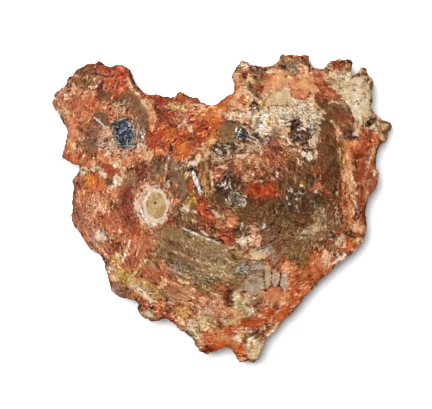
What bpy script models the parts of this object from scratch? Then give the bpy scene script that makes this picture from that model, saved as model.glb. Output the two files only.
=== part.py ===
"""Petrified wood slice: a heart-shaped round sawn from a fossil log, lying on its lower sawn face.

The slice is one stone. Three hollows in its polished face each hold a crust of quartz crystals.
Plan points are millimetres on a drawing sheet: x to the right, y down the sheet. The frame is in
metres with +Z up, and its origin is under the middle of the slice, on the surface it rests on.
"""

import math
import random

import bmesh
import bpy
import numpy as np
from mathutils import Matrix, Vector, noise

MM = 0.001
THICKNESS = 22.0  # mm between the two sawn faces
OUTLINE_STEP = 4.0  # mm between the points that the wall is lofted through
EDGE_BREAK = 0.45  # mm that each sawn face stops short of the wall
WALL_DEPTHS = (0.0, 0.5, 3.5, 8.0, 12.5, 17.0, 21.5, THICKNESS)  # mm below the polished face
FURROW_WIDTH, FURROW_DEPTH = 11.0, 3.6  # mm, the upright furrows of the old bark
LUMP_WIDTH, LUMP_DEPTH = 5.5, 1.6  # mm, the lumps and breaks across them
CRYSTAL_BOWL, PLAIN_BOWL = 3, 2  # subdivisions of the ball that a hollow is cut with
BOWL_RAGGED, LUMPS_ROUND_BOWL = 0.3, 2.3  # how uneven a hollow is, and how often round it
CRUST_GAP = 0.4  # mm between a crust and the stone
LINING_SHARE, SEAT_SHARE = 0.32, 0.24  # of a hollow's depth: its lining, and the crystals' feet in it
CRUST_RIM = 0.5  # mm from the polished face down to a lining's rim
LEAN = 0.22  # how far a crystal leans from square to the lining
WIDER_OR_THINNER = (0.7, 1.25)  # the least and most that a crystal's radius is multiplied by
LONGER_OR_SHORTER = (1.9, 3.0)  # its length, as a multiple of that radius
SPREAD, TIP_SHARE = 0.72, 0.4  # share of a hollow with crystals in it, and of a crystal that tapers

# The plan of the stone, clockwise from the notch in its left flank.
LEFT_LOBE = [
    (79, 169), (79, 165.5), (74.5, 164.3), (70, 162.8), (66, 160.2), (62.6, 158.6), (61, 156.6),
    (62.8, 152), (65, 143), (66.5, 135), (65.8, 128), (63.5, 124.5), (60.3, 121), (58.6, 117.5),
    (56.6, 113), (54, 109.5), (53.2, 106), (51.4, 102.8), (52.4, 100), (54.8, 98.4), (53.6, 95.2),
    (55.8, 91.6), (59.4, 89.8), (61.6, 87.4), (64.4, 86), (66.8, 82.6), (66.4, 79.6), (68.6, 76.8),
    (72.4, 75.4), (75, 71.8), (78.4, 68.6), (83.6, 65.6), (86, 63.8), (90, 62.6), (95.6, 62.2),
    (96.6, 60.2), (99.6, 60.6), (102.6, 62.6), (105, 65), (108.4, 66.8), (112.4, 66.4), (116, 64.6),
    (121, 64), (125, 66), (128.6, 68.2), (131, 71.4), (131.8, 75), (135.4, 83.4), (138.4, 87),
    (142, 90), (146, 93.4),
]
TOP_BAY = [
    (149.6, 94.8), (155, 94.4), (160, 94.6), (161.6, 96.4), (166, 96), (171, 97.4), (175.8, 95.8),
    (177.4, 92.6), (180.4, 91.4), (184, 93.4), (188.6, 95.8), (193, 97), (197.4, 96.6), (199, 99),
    (200.4, 101.8), (205, 102.6), (209.6, 104.4), (215.6, 104.6), (218, 102.4), (222.6, 99),
    (228, 95), (233, 92.6),
]
RIGHT_LOBE = [
    (233.8, 88), (234, 83.6), (232.6, 80.6), (231, 76.6), (232, 73.4), (234.4, 70.6), (235.6, 66.6),
    (238.6, 64.4), (240.4, 61), (243.4, 60.4), (247, 62), (250.4, 64.2), (256, 65.6), (269, 66.2),
    (273.4, 65), (279, 59.8), (280.2, 56.4), (282.6, 53.4), (285, 54.8), (291, 54.2), (301, 55.4),
    (305, 54.6), (309.6, 55.6), (309.8, 59.6), (311, 63.6), (312.8, 67), (317, 68.4), (323, 68.6),
    (325.6, 66.6), (328.4, 63), (330.6, 60.6), (336, 59.8), (339, 58.2), (343.6, 59.4), (347, 58.6),
    (350.8, 59.8), (352.8, 62.6), (351.6, 71.4), (351.8, 75.6), (354.6, 73.6), (358.6, 71.2),
    (360.4, 68), (362.8, 66.4), (366, 67.4), (367.8, 70.6), (372.2, 77.6), (373.6, 82), (373.8, 87),
    (372, 91.6), (373, 100.4), (371, 104.4), (370.6, 107.6), (373, 110.6), (377, 114.4),
    (385.6, 120), (390.6, 122.4), (393.8, 124.2),
]
RIGHT_TIP = [
    (394.2, 126.4), (391.6, 129.4), (388.4, 132), (389.6, 135.4), (389, 139.6), (385, 141.8),
    (382, 144.6), (379.6, 148),
]
RIGHT_FLANK = [
    (378.4, 152), (377.4, 158), (377.4, 168.6), (379.2, 172), (379, 177), (376.4, 188.6),
    (374, 191.6), (371, 193.8), (368.2, 197), (367.8, 202), (366.6, 213.6), (368.4, 225),
    (366.8, 231), (363.4, 241), (359.6, 246), (355.4, 250.6),
]
LOWER_RIGHT = [
    (351, 254.6), (340.6, 263), (331, 271), (321, 280), (317.4, 284.6), (307.6, 294.6),
    (303.6, 298.6), (301, 303), (297.4, 307.6), (288, 316.4), (284.4, 319.6), (281.4, 323.6),
    (279.2, 328.2), (275, 332), (270.6, 335), (267, 338.8),
]
LOWER_POINT = [
    (265.4, 344), (261, 354), (259.2, 358), (257.6, 361.6), (254, 364.2), (249.6, 362.8),
    (244.6, 363), (240, 363.6), (237.4, 360), (233, 352.2), (230.2, 348.8), (226, 347.2),
    (221.4, 348.2), (218, 350.4),
]
LOWER_LEFT = [
    (214, 352.2), (210.4, 353.2), (207.8, 355), (204, 353), (199.6, 351), (197.4, 347.8),
    (194.4, 345.6), (193.6, 341.6), (191, 338), (187.2, 336.6), (185, 333), (180.4, 331.6),
    (177.6, 328.4), (176.6, 325.6), (171, 322.6), (168.4, 319.6), (164, 318.8), (155, 321.6),
    (150, 321.2), (145, 319.6), (140, 316.2), (137.6, 312.2), (136.2, 308.6), (137.8, 304.4),
    (134.6, 301.8), (130, 300.2), (120, 297.6), (115, 294.6), (111.2, 291),
]
LEFT_FLANK = [
    (110, 287), (109, 282), (107.8, 277.6), (105.8, 273), (104.4, 265), (103, 261.4), (101.6, 257.6),
    (99, 254), (94, 252), (89.8, 249.6), (87, 246), (81, 235.4), (78, 231.6), (74.4, 227),
    (72.2, 222), (70.8, 218.4), (71.6, 207), (71, 202), (73, 190), (73.6, 184), (72, 181.4),
    (75.6, 176), (78.8, 173),
]

# Where the weathered rim slopes away outside the polished face: the middle of the stretch, how far
# it reaches, the way and distance that the face is set back, and the depth at which the rim is full.
LEDGES = {
    "right tip": ((386, 128), 24, (-6.5, 1.0), 12),
    "right flank above": ((378, 158), 26, (-4.5, 0.5), 10),
    "right flank below": ((367, 215), 30, (-2.8, 0.0), 8),
    "lower right edge": ((322, 279), 44, (-1.5, -1.6), 5),
    "lower right foot": ((283, 321), 24, (-1.8, -1.8), 6),
    "lower point": ((250, 361), 20, (-0.5, -5.0), 10),
    "lower chip": ((227, 348), 11, (0.0, -2.2), 5),
    "lower left foot": ((186, 334), 18, (3.0, -3.0), 8),
    "lower left knob": ((141, 312), 17, (4.5, -4.0), 9),
    "left flank step": ((107, 275), 12, (2.6, -0.4), 6),
    "left flank": ((72, 205), 26, (1.8, 0.0), 6),
    "left lobe side": ((60, 119), 13, (3.0, -1.0), 7),
    "left lobe crown": ((99, 62), 13, (0.0, 3.4), 7),
    "left lobe shoulder": ((136, 84), 20, (-3.6, 2.4), 11),
    "bay lip": ((203, 102), 16, (-0.5, 2.6), 6),
    "right lobe corner": ((233, 77), 11, (2.4, 0.4), 6),
    "right lobe knob": ((365, 71), 13, (-1.6, 3.4), 8),
    "right lobe side": ((373, 96), 17, (-3.0, 0.0), 8),
}

# Open hollows in the polished face: middle, half width, half length, turn in degrees, depth.
CRYSTAL_HOLLOWS = {
    "pocket": ((123.5, 134), 11.5, 15.5, -12, 7.5),
    "upper_vug": ((242, 135), 6.5, 4.6, 15, 4.2),
    "middle_vug": ((236.5, 198), 6.0, 9.5, -35, 4.2),
}
PLAIN_HOLLOWS = {
    "left lobe pinhole": ((94, 155.5), 2.2, 2.2, 0, 2.2),
    "right lobe hollow": ((294.5, 126), 3.4, 7.4, 20, 3.4),
    "right lobe eye": ((308.5, 109), 2.6, 1.9, -10, 1.6),
    "knob eye": ((366.5, 81), 2.0, 2.8, 0, 1.8),
    "tip slot": ((370.5, 121.5), 6.6, 2.0, -33, 2.6),
    "flank slot": ((357, 163), 2.2, 7.0, -8, 2.8),
    "shoulder hollow": ((254.5, 106), 3.0, 4.0, -20, 2.2),
    "white vein slot": ((216.5, 180), 3.0, 1.4, 10, 1.3),
}

# Colours as linear red, green and blue.
JASPER_RED = (0.36, 0.10, 0.045)
SMOKY_BLUE = (0.07, 0.085, 0.13)
MILKY_QUARTZ = (0.46, 0.44, 0.40)

# Each crust's crystals: how many, their usual radius in mm, the draw's seed, and their colour.
CRYSTALS = {
    "pocket": (30, 1.6, 25, SMOKY_BLUE),
    "upper_vug": (9, 0.9, 20, MILKY_QUARTZ),
    "middle_vug": (12, 0.9, 20, MILKY_QUARTZ),
}


def clear_scene():
    """Removes what the startup scene holds."""
    for item in list(bpy.data.objects):
        bpy.data.objects.remove(item, do_unlink=True)


def new_collection(name):
    collection = bpy.data.collections.new(name)
    bpy.context.scene.collection.children.link(collection)
    return collection


def new_material(name, colour, roughness):
    material = bpy.data.materials.new(name)
    material.use_nodes = True
    shader = material.node_tree.nodes["Principled BSDF"]
    shader.inputs["Base Color"].default_value = (*colour, 1.0)
    shader.inputs["Roughness"].default_value = roughness
    shader.inputs["Metallic"].default_value = 0.0
    return material


def new_object(name, mesh_source, collection):
    """Turns a bmesh, which it frees, into a named object."""
    mesh = bpy.data.meshes.new(name)
    mesh_source.to_mesh(mesh)
    mesh_source.free()
    item = bpy.data.objects.new(name, mesh)
    collection.objects.link(item)
    return item


def as_helper(item):
    """Marks a cutter or a joining tool, which is no part of the model."""
    item.hide_render = True
    item.display_type = "WIRE"


def add_boolean(item, name, operation):
    modifier = item.modifiers.new(name, "BOOLEAN")
    modifier.operation = operation
    modifier.solver = "EXACT"
    return modifier


def smooth_step(share):
    share = np.clip(share, 0.0, 1.0)
    return share * share * (3.0 - 2.0 * share)


def plan_outline():
    """The closed plan, OUTLINE_STEP between points, on a Catmull-Rom curve through the sheet points."""
    knots = np.array(
        LEFT_LOBE + TOP_BAY + RIGHT_LOBE + RIGHT_TIP + RIGHT_FLANK
        + LOWER_RIGHT + LOWER_POINT + LOWER_LEFT + LEFT_FLANK,
        float,
    )
    points = []
    for i, start in enumerate(knots):
        before, end, after = (knots[(i + k) % len(knots)] for k in (-1, 1, 2))
        steps = max(1, round(float(np.linalg.norm(end - start)) / OUTLINE_STEP))
        for t in np.arange(steps) / steps:
            points.append(
                0.5 * (
                    2 * start + (end - before) * t
                    + (2 * before - 5 * start + 4 * end - after) * t**2
                    + (3 * start - before - 3 * end + after) * t**3
                )
            )
    return np.array(points)


def inward_directions(points):
    """Unit vectors into the stone, square to a plan that runs clockwise on the sheet."""
    along = np.roll(points, -1, axis=0) - np.roll(points, 1, axis=0)
    along /= np.linalg.norm(along, axis=1)[:, None]
    return np.stack([-along[:, 1], along[:, 0]], axis=1)


def ledge_shift(points, depth):
    """How far each ledge sets the wall back from the plan, by less the deeper the ring lies."""
    shift = np.zeros_like(points)
    for middle, reach, set_back, full_depth in LEDGES.values():
        away = np.linalg.norm(points - np.array(middle, float), axis=1)
        share = smooth_step(1.0 - away / reach) * (1.0 - smooth_step(depth / full_depth))
        shift += share[:, None] * np.array(set_back, float)
    return shift


def bark_relief(points, depth):
    """How far furrows down the wall and lumps across them lie inside the plan, in millimetres.

    The relief dies out at the polished face, where the saw left a true edge.
    """
    below = float(smooth_step(depth / 5.0))
    relief = []
    for x, y in points:
        furrow = 0.4 + noise.noise(Vector((x, y, depth * 0.25)) / FURROW_WIDTH)
        lump = 0.3 + noise.noise(Vector((x + 90, y, depth * 1.6)) / LUMP_WIDTH)
        relief.append(below * (FURROW_DEPTH * max(furrow, 0.0) + LUMP_DEPTH * lump))
    return np.array(relief)


def wall_rings():
    """The rings of the wall in sheet millimetres, from the polished face down.

    Each upright line down the wall is moved out until it touches the plan at one depth.
    """
    plan = plan_outline()
    inward = inward_directions(plan)
    shifts = []
    for depth in WALL_DEPTHS:
        relief = bark_relief(plan, depth)
        if depth in (0.0, THICKNESS):
            relief = relief + EDGE_BREAK
        shifts.append(ledge_shift(plan, depth) + inward * relief[:, None])
    reach = np.min([np.sum(shift * inward, axis=1) for shift in shifts], axis=0)
    return [plan + shift - inward * reach[:, None] for shift in shifts]


def middle_of(rings):
    """The middle of the box round the stone, which becomes the frame's origin."""
    points = np.concatenate(rings)
    return (points.min(axis=0) + points.max(axis=0)) / 2


def to_frame(point, middle, depth):
    """A sheet point at a depth below the polished face, in the frame's metres."""
    x, y = point
    return Vector(((x - middle[0]) * MM, (middle[1] - y) * MM, (THICKNESS - depth) * MM))


def build_slice(rings, middle, collection):
    """The stone, lofted through its rings between the two flat sawn faces."""
    made = bmesh.new()
    loops = [
        [made.verts.new(to_frame(point, middle, depth)) for point in ring]
        for ring, depth in zip(rings, WALL_DEPTHS)
    ]
    count = len(loops[0])
    for upper, lower in zip(loops, loops[1:]):
        for i in range(count):
            j = (i + 1) % count
            made.faces.new((upper[i], upper[j], lower[j], lower[i]))
    made.faces.new(loops[0])
    made.faces.new(loops[-1])
    bmesh.ops.recalc_face_normals(made, faces=made.faces)
    bmesh.ops.triangulate(made, faces=made.faces)
    return new_object("wood_slice", made, collection)


def bowl_point(hollow, direction, shrink=0.0):
    """Where a direction from the middle of a hollow's lumpy ball meets it, in millimetres."""
    centre, half_width, half_length, _, depth = hollow
    lump = noise.noise(direction * LUMPS_ROUND_BOWL + Vector((centre[0], centre[1], 0.0)))
    sizes = (half_width, half_length, depth)
    return Vector(
        part * (size * (1.0 + BOWL_RAGGED * lump) - shrink) for part, size in zip(direction, sizes)
    )


def bowl_ball(hollow, subdivisions, shrink=0.0):
    """The lumpy ball that a hollow is cut with, less shrink all round."""
    made = bmesh.new()
    bmesh.ops.create_icosphere(made, subdivisions=subdivisions, radius=1.0)
    for vert in made.verts:
        vert.co = bowl_point(hollow, vert.co, shrink) * MM
    return made


def set_in_hollow(item, hollow, middle):
    """Places what was made round (0, 0, 0) in its hollow, level with the polished face."""
    item.location = to_frame(hollow[0], middle, 0.0)
    item.rotation_euler.z = -math.radians(hollow[3])


def cut_hollows(stone, middle, cutters):
    """Takes every hollow out of the polished face."""
    for name, hollow in {**CRYSTAL_HOLLOWS, **PLAIN_HOLLOWS}.items():
        subdivisions = CRYSTAL_BOWL if name in CRYSTAL_HOLLOWS else PLAIN_BOWL
        cutter = new_object(f"cutter {name}", bowl_ball(hollow, subdivisions), cutters)
        set_in_hollow(cutter, hollow, middle)
        as_helper(cutter)
        add_boolean(stone, f"hollow {name}", "DIFFERENCE").object = cutter


def crystal_mesh(base, direction, radius, length):
    """A six-sided prism with a pointed end, grown from base along direction."""
    tip = TIP_SHARE * length
    made = bmesh.new()
    turn = Vector((0, 0, 1)).rotation_difference(direction).to_matrix().to_4x4()
    bmesh.ops.create_cone(
        made, cap_ends=True, segments=6, radius1=radius, radius2=0.93 * radius, depth=length - tip,
        matrix=Matrix.Translation((0, 0, (length - tip) / 2)),
    )
    top = max(made.faces, key=lambda face: face.calc_center_median().z)
    bmesh.ops.poke(made, faces=[top], offset=tip)
    bmesh.ops.transform(made, matrix=Matrix.Translation(base) @ turn, verts=made.verts)
    return made


def grow_crystals(name, hollow, middle, tools):
    """The crystals that stand on a hollow's lining, spread over it in a sunflower's order."""
    _, half_width, half_length, _, depth = hollow
    count, usual_radius, seed, _ = CRYSTALS[name]
    chance = random.Random(seed)
    for k in range(count):
        share = SPREAD * math.sqrt((k + 0.5) / count)
        angle = k * math.pi * (3 - math.sqrt(5))
        down = Vector((share * math.cos(angle), share * math.sin(angle), -math.sqrt(1 - share**2)))
        foot = bowl_point(hollow, down, CRUST_GAP)
        inward = -Vector((down.x / half_width, down.y / half_length, down.z / depth)).normalized()
        foot += inward * SEAT_SHARE * depth
        lean = inward + Vector((chance.uniform(-LEAN, LEAN), chance.uniform(-LEAN, LEAN), LEAN))
        radius = usual_radius * chance.uniform(*WIDER_OR_THINNER)
        length = min(radius * chance.uniform(*LONGER_OR_SHORTER), -foot.z - CRUST_GAP)
        crystal = crystal_mesh(foot * MM, lean.normalized(), radius * MM, length * MM)
        tool = new_object(f"crystal {name} {k}", crystal, tools)
        set_in_hollow(tool, hollow, middle)
        as_helper(tool)


def build_crust(name, middle, collection, cutters):
    """A hollow's lining and the crystals on it, joined in one solid that stays clear of the stone."""
    hollow = CRYSTAL_HOLLOWS[name]
    _, half_width, half_length, _, depth = hollow
    crust = new_object(f"{name}_crystals", bowl_ball(hollow, CRYSTAL_BOWL, CRUST_GAP), collection)
    scoop_mesh = bowl_ball(hollow, CRYSTAL_BOWL, CRUST_GAP + LINING_SHARE * depth)
    scoop = new_object(f"scoop {name}", scoop_mesh, cutters)
    lid_mesh = bmesh.new()
    lid_place = Matrix.Translation((0, 0, (depth - CRUST_RIM) * MM))
    lid_size = Matrix.Diagonal((3 * half_width * MM, 3 * half_length * MM, 2 * depth * MM, 1.0))
    bmesh.ops.create_cube(lid_mesh, size=1.0, matrix=lid_place @ lid_size)
    lid = new_object(f"lid {name}", lid_mesh, cutters)
    for item in (crust, scoop, lid):
        set_in_hollow(item, hollow, middle)
    for cutter in (scoop, lid):
        as_helper(cutter)
        add_boolean(crust, cutter.name, "DIFFERENCE").object = cutter
    tools = new_collection(f"crystals of {name}")
    grow_crystals(name, hollow, middle, tools)
    join = add_boolean(crust, "crystals", "UNION")
    join.operand_type = "COLLECTION"
    join.collection = tools
    return crust


def main():
    clear_scene()
    part = new_collection("petrified wood slice")
    cutters = new_collection("cutters")
    rings = wall_rings()
    middle = middle_of(rings)
    stone = build_slice(rings, middle, part)
    stone.data.materials.append(new_material("polished jasper", JASPER_RED, 0.35))
    cut_hollows(stone, middle, cutters)
    for name, (_, _, _, colour) in CRYSTALS.items():
        crust = build_crust(name, middle, part, cutters)
        crust.data.materials.append(new_material(f"{name} quartz", colour, 0.15))


main()
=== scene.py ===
"""Petrified wood slice: the looks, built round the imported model.

Marks are placed in sheet millimetres: x to the right, y down the drawing sheet, one to a pixel of
the photograph. Everything else is in metres, in the model's frame, with +Z up.
"""

import math
import random

import bmesh
import bpy
import numpy as np
from mathutils import Matrix, Vector, geometry
from mathutils.bvhtree import BVHTree


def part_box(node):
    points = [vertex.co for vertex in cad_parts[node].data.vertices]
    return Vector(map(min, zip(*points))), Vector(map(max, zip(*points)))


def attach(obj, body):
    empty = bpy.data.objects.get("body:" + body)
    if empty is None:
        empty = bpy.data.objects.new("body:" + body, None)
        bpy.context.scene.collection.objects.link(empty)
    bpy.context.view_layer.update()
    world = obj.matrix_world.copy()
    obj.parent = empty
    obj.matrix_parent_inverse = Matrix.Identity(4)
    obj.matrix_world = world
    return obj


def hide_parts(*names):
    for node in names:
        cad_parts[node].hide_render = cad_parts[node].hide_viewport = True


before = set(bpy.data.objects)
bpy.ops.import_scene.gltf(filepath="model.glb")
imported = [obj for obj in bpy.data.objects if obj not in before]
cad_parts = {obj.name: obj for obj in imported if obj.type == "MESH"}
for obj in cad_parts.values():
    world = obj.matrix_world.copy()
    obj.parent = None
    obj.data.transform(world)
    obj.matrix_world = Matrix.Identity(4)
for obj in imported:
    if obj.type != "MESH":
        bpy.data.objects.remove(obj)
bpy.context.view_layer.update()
SLICE_LOW, SLICE_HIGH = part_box("wood_slice")

MM = 0.001
SHEET_LEFT, SHEET_TOP = 51.4, 53.4  # the slice's left and top edges on the drawing sheet
PHOTO_WIDTH, PHOTO_HEIGHT = 432, 409


def to_sheet(points):
    """Frame points, in metres, as sheet x, sheet y and depth below the polished face."""
    x = (points[:, 0] - SLICE_LOW.x) / MM + SHEET_LEFT
    y = (SLICE_HIGH.y - points[:, 1]) / MM + SHEET_TOP
    return x, y, (SLICE_HIGH.z - points[:, 2]) / MM


def from_sheet(x, y, depth=0.0):
    """A sheet point at a depth in millimetres, in the frame's metres."""
    return Vector(
        (SLICE_LOW.x + (x - SHEET_LEFT) * MM, SLICE_HIGH.y - (y - SHEET_TOP) * MM, SLICE_HIGH.z - depth * MM)
    )


# ---------------------------------------------------------------- noise, on numpy arrays
HASH_X, HASH_Y, HASH_SEED = 374761393, 668265263, 974634777  # large odd numbers that scatter a lattice
HASH_MIXERS = ((13, 1274126177), (16, 2246822519))  # shift and factor of each mixing round
WORD = 0xFFFFFFFF  # keeps 32 bits
OCTAVE_SHIFT = (17.3, -9.1)  # lumps between one layer of noise and the next
NOISE_GAIN = 1.9  # brings layered noise to about -1 to 1


def hashed_angle(ix, iy, seed):
    """A repeatable angle for each whole-number lattice point."""
    h = (ix.astype(np.int64) * HASH_X + iy.astype(np.int64) * HASH_Y + seed * HASH_SEED) & WORD
    for shift, factor in HASH_MIXERS:
        h = ((h ^ (h >> shift)) * factor) & WORD
    return (h ^ (h >> 15)) * (2 * np.pi / (WORD + 1.0))


def noise2(x, y, seed):
    """Gradient noise, about -0.7 to 0.7, one lump per unit."""
    ix, iy = np.floor(x), np.floor(y)
    fx, fy = x - ix, y - iy
    u, v = (f * f * f * (f * (6 * f - 15) + 10) for f in (fx, fy))
    corner = []
    for dx in (0, 1):
        for dy in (0, 1):
            angle = hashed_angle(ix + dx, iy + dy, seed)
            corner.append(np.cos(angle) * (fx - dx) + np.sin(angle) * (fy - dy))
    left = corner[0] + (corner[1] - corner[0]) * v
    right = corner[2] + (corner[3] - corner[2]) * v
    return left + (right - left) * u


def fractal(x, y, size, seed, octaves=3, gain=0.6):
    """Layered noise, about -1 to 1, whose largest lumps are size millimetres wide."""
    total, weight = 0.0, 0.0
    for k in range(octaves):
        shift_x, shift_y = (k * shift for shift in OCTAVE_SHIFT)
        total = total + gain**k * noise2(x * 2**k / size + shift_x, y * 2**k / size + shift_y, seed + k)
        weight += gain ** (2 * k)
    return NOISE_GAIN * total / np.sqrt(weight)


def smooth(low, high, value):
    """0 at low and 1 at high, with a soft start and end."""
    t = np.clip((value - low) / (high - low), 0.0, 1.0)
    return t * t * (3 - 2 * t)


def turned(x, y, degrees):
    """Points given along axes that are turned clockwise on the sheet."""
    c, s = np.cos(np.radians(degrees)), np.sin(np.radians(degrees))
    return x * c + y * s, -x * s + y * c


# ---------------------------------------------------------------- the run of the grain
PITH = (240, 195)  # the growth rings run round this sheet point
WHORLS = [((123.5, 134), 24), ((154, 206), 26)]  # and round the pocket and the side branch, within a reach
# Where the grain leaves the rings: sheet middle, reach and direction, clockwise from the sheet's x.
RUNS = [((330, 152), (16, 34), 88), ((348, 175), (12, 30), 86), ((205, 255), (42, 26), 22),
        ((150, 285), (32, 22), 24), ((96, 244), (22, 14), 24), ((262, 105), (26, 20), 100),
        ((205, 178), (12, 26), 84), ((296, 60), (20, 14), 10), ((138, 120), (12, 24), 80)]
RUN_PULL = 4.0  # how firmly a whorl or a run holds the grain, against 1 for the rings
STRAIGHTER = 0.2  # how much of its wandering a run loses for each unit of that
GRAIN_SWAY = ((0.6, 15, 61), (1.2, 6.0, 64))  # radians, mm and seed of the grain's wandering
FLOW_STEP, FLOW_REACH = 0.7, 6  # mm between samples along the grain, and samples to either side


def grain_direction(x, y):
    """The angle of the grain, summed as doubled angles so that either sense counts alike."""
    angle = np.arctan2(y - PITH[1], x - PITH[0]) + np.pi / 2
    c, s = np.cos(2 * angle), np.sin(2 * angle)
    wander = 1.0
    for (cx, cy), reach in WHORLS:
        distance = np.hypot(x - cx, y - cy)
        round_it = np.arctan2(y - cy, x - cx) + np.pi / 2
        weight = RUN_PULL * np.exp(-((distance / reach) ** 4))
        c, s = c + weight * np.cos(2 * round_it), s + weight * np.sin(2 * round_it)
    for (cx, cy), (rx, ry), degrees in RUNS:
        weight = RUN_PULL * np.exp(-((((x - cx) / rx) ** 2 + ((y - cy) / ry) ** 2) ** 2))
        c = c + weight * np.cos(2 * np.radians(degrees))
        s = s + weight * np.sin(2 * np.radians(degrees))
        wander = wander * (1 - STRAIGHTER * weight)
    sway = sum(turn * fractal(x, y, size, seed, 2) for turn, size, seed in GRAIN_SWAY)
    return np.arctan2(s, c) / 2 + wander * sway


def trace_grain(x, y):
    """Points along the grain through every point, from FLOW_REACH steps before it to as many after."""
    tracks = {0: (x, y)}
    for sense in (1, -1):
        px, py = x, y
        old_x, old_y = None, None
        for k in range(1, FLOW_REACH + 1):
            angle = grain_direction(px, py)
            dx, dy = np.cos(angle), np.sin(angle)
            if old_x is None:
                dx, dy = sense * dx, sense * dy
            else:
                flip = np.where(dx * old_x + dy * old_y < 0, -1.0, 1.0)
                dx, dy = dx * flip, dy * flip
            old_x, old_y = dx, dy
            px, py = px + FLOW_STEP * dx, py + FLOW_STEP * dy
            tracks[sense * k] = (px, py)
    return tracks


# ---------------------------------------------------------------- the canvas
FIBRE_SIZES = (2.2, 3.4, 5.4, 9.0)  # mm, the widths of the fibres that the paint is broken by
FIBRE_KINDS = 4  # different patterns of each width
FIBRE_SEED, CRUMB_SEED = 400, 1000
FIBRE_STRANDS, FIBRE_CRUMBS = 0.87, 0.5  # shares of drawn-out and of plain noise in a fibre
FIBRE_LENGTH = 1.1  # how far a fibre is drawn out to either side, in its own widths
CRUMB_SHIFT = 31.7  # lumps between the plain noise of a fibre and its drawn-out noise
EDGE_SWAY = ((3.0, 14), (1.5, 4.0))  # mm that the edges of marks wander, in lumps so many mm wide
EDGE_SEED = 71
# Mixtures of fibres: share, width and kind of each.
EDGE_FIBRES = ((0.5, 2, 0), (0.6, 1, 0), (0.4, 0, 2))
TONE_FIBRES = ((0.6, 0, 1), (0.6, 1, 3), (0.5, 2, 3))
LIGHT_FIBRES = ((1.0, 0, 3), (0.4, 3, 2))
DARK_FIBRES = ((1.0, 0, 0), (0.4, 3, 1))
WARM_FIBRES = ((1.0, 2, 1),)
TONE_LIMITS = (-1.6, 1.1)
WARMTH = 0.10
FIRST_LAYER = 100  # each mark has a layer number, which chooses its own pattern
LAYER_STEP = 7  # layers between one plain noise and the next, so that none repeats
MARGIN = 8  # mm kept round an oval for the wandering of its edge
LEAST_SWAY, SMALL_MARK = 0.25, 12  # small ovals wander less: the least share, and mm for a full one
SWAY_REACH = 12  # mm kept round a line for the wandering of its edge
WEAVE_BIAS, WEAVE_BAND, WEAVE_FINER = 1.4, 0.3, 0.25  # how a mark's pattern draws on the fibre widths
PATTERN_SPREAD = 2.5  # turns a share of an area into a level of its pattern
PAINT_EDGE = 0.85  # how softly a mark's second paint meets its first
GAP_SIZE, GAP_DEPTH, GAP_EDGE = 4, 0.4, 0.1  # the gaps in a broken line: mm, and how they show
SPECK_SPREAD, SPECK_EDGE = 2.6, 0.6
SPECK_FADE = (1.2, 0.7)  # where the specks of an oval fade out, in its own radii
STRAND_EDGES = ((1.1, 1.8), (1.2, 1.9))  # the levels between which the light and the dark strands show
LIGHT_STRANDS, DARK_STRANDS = 0.35, 0.4  # and how strongly


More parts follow.
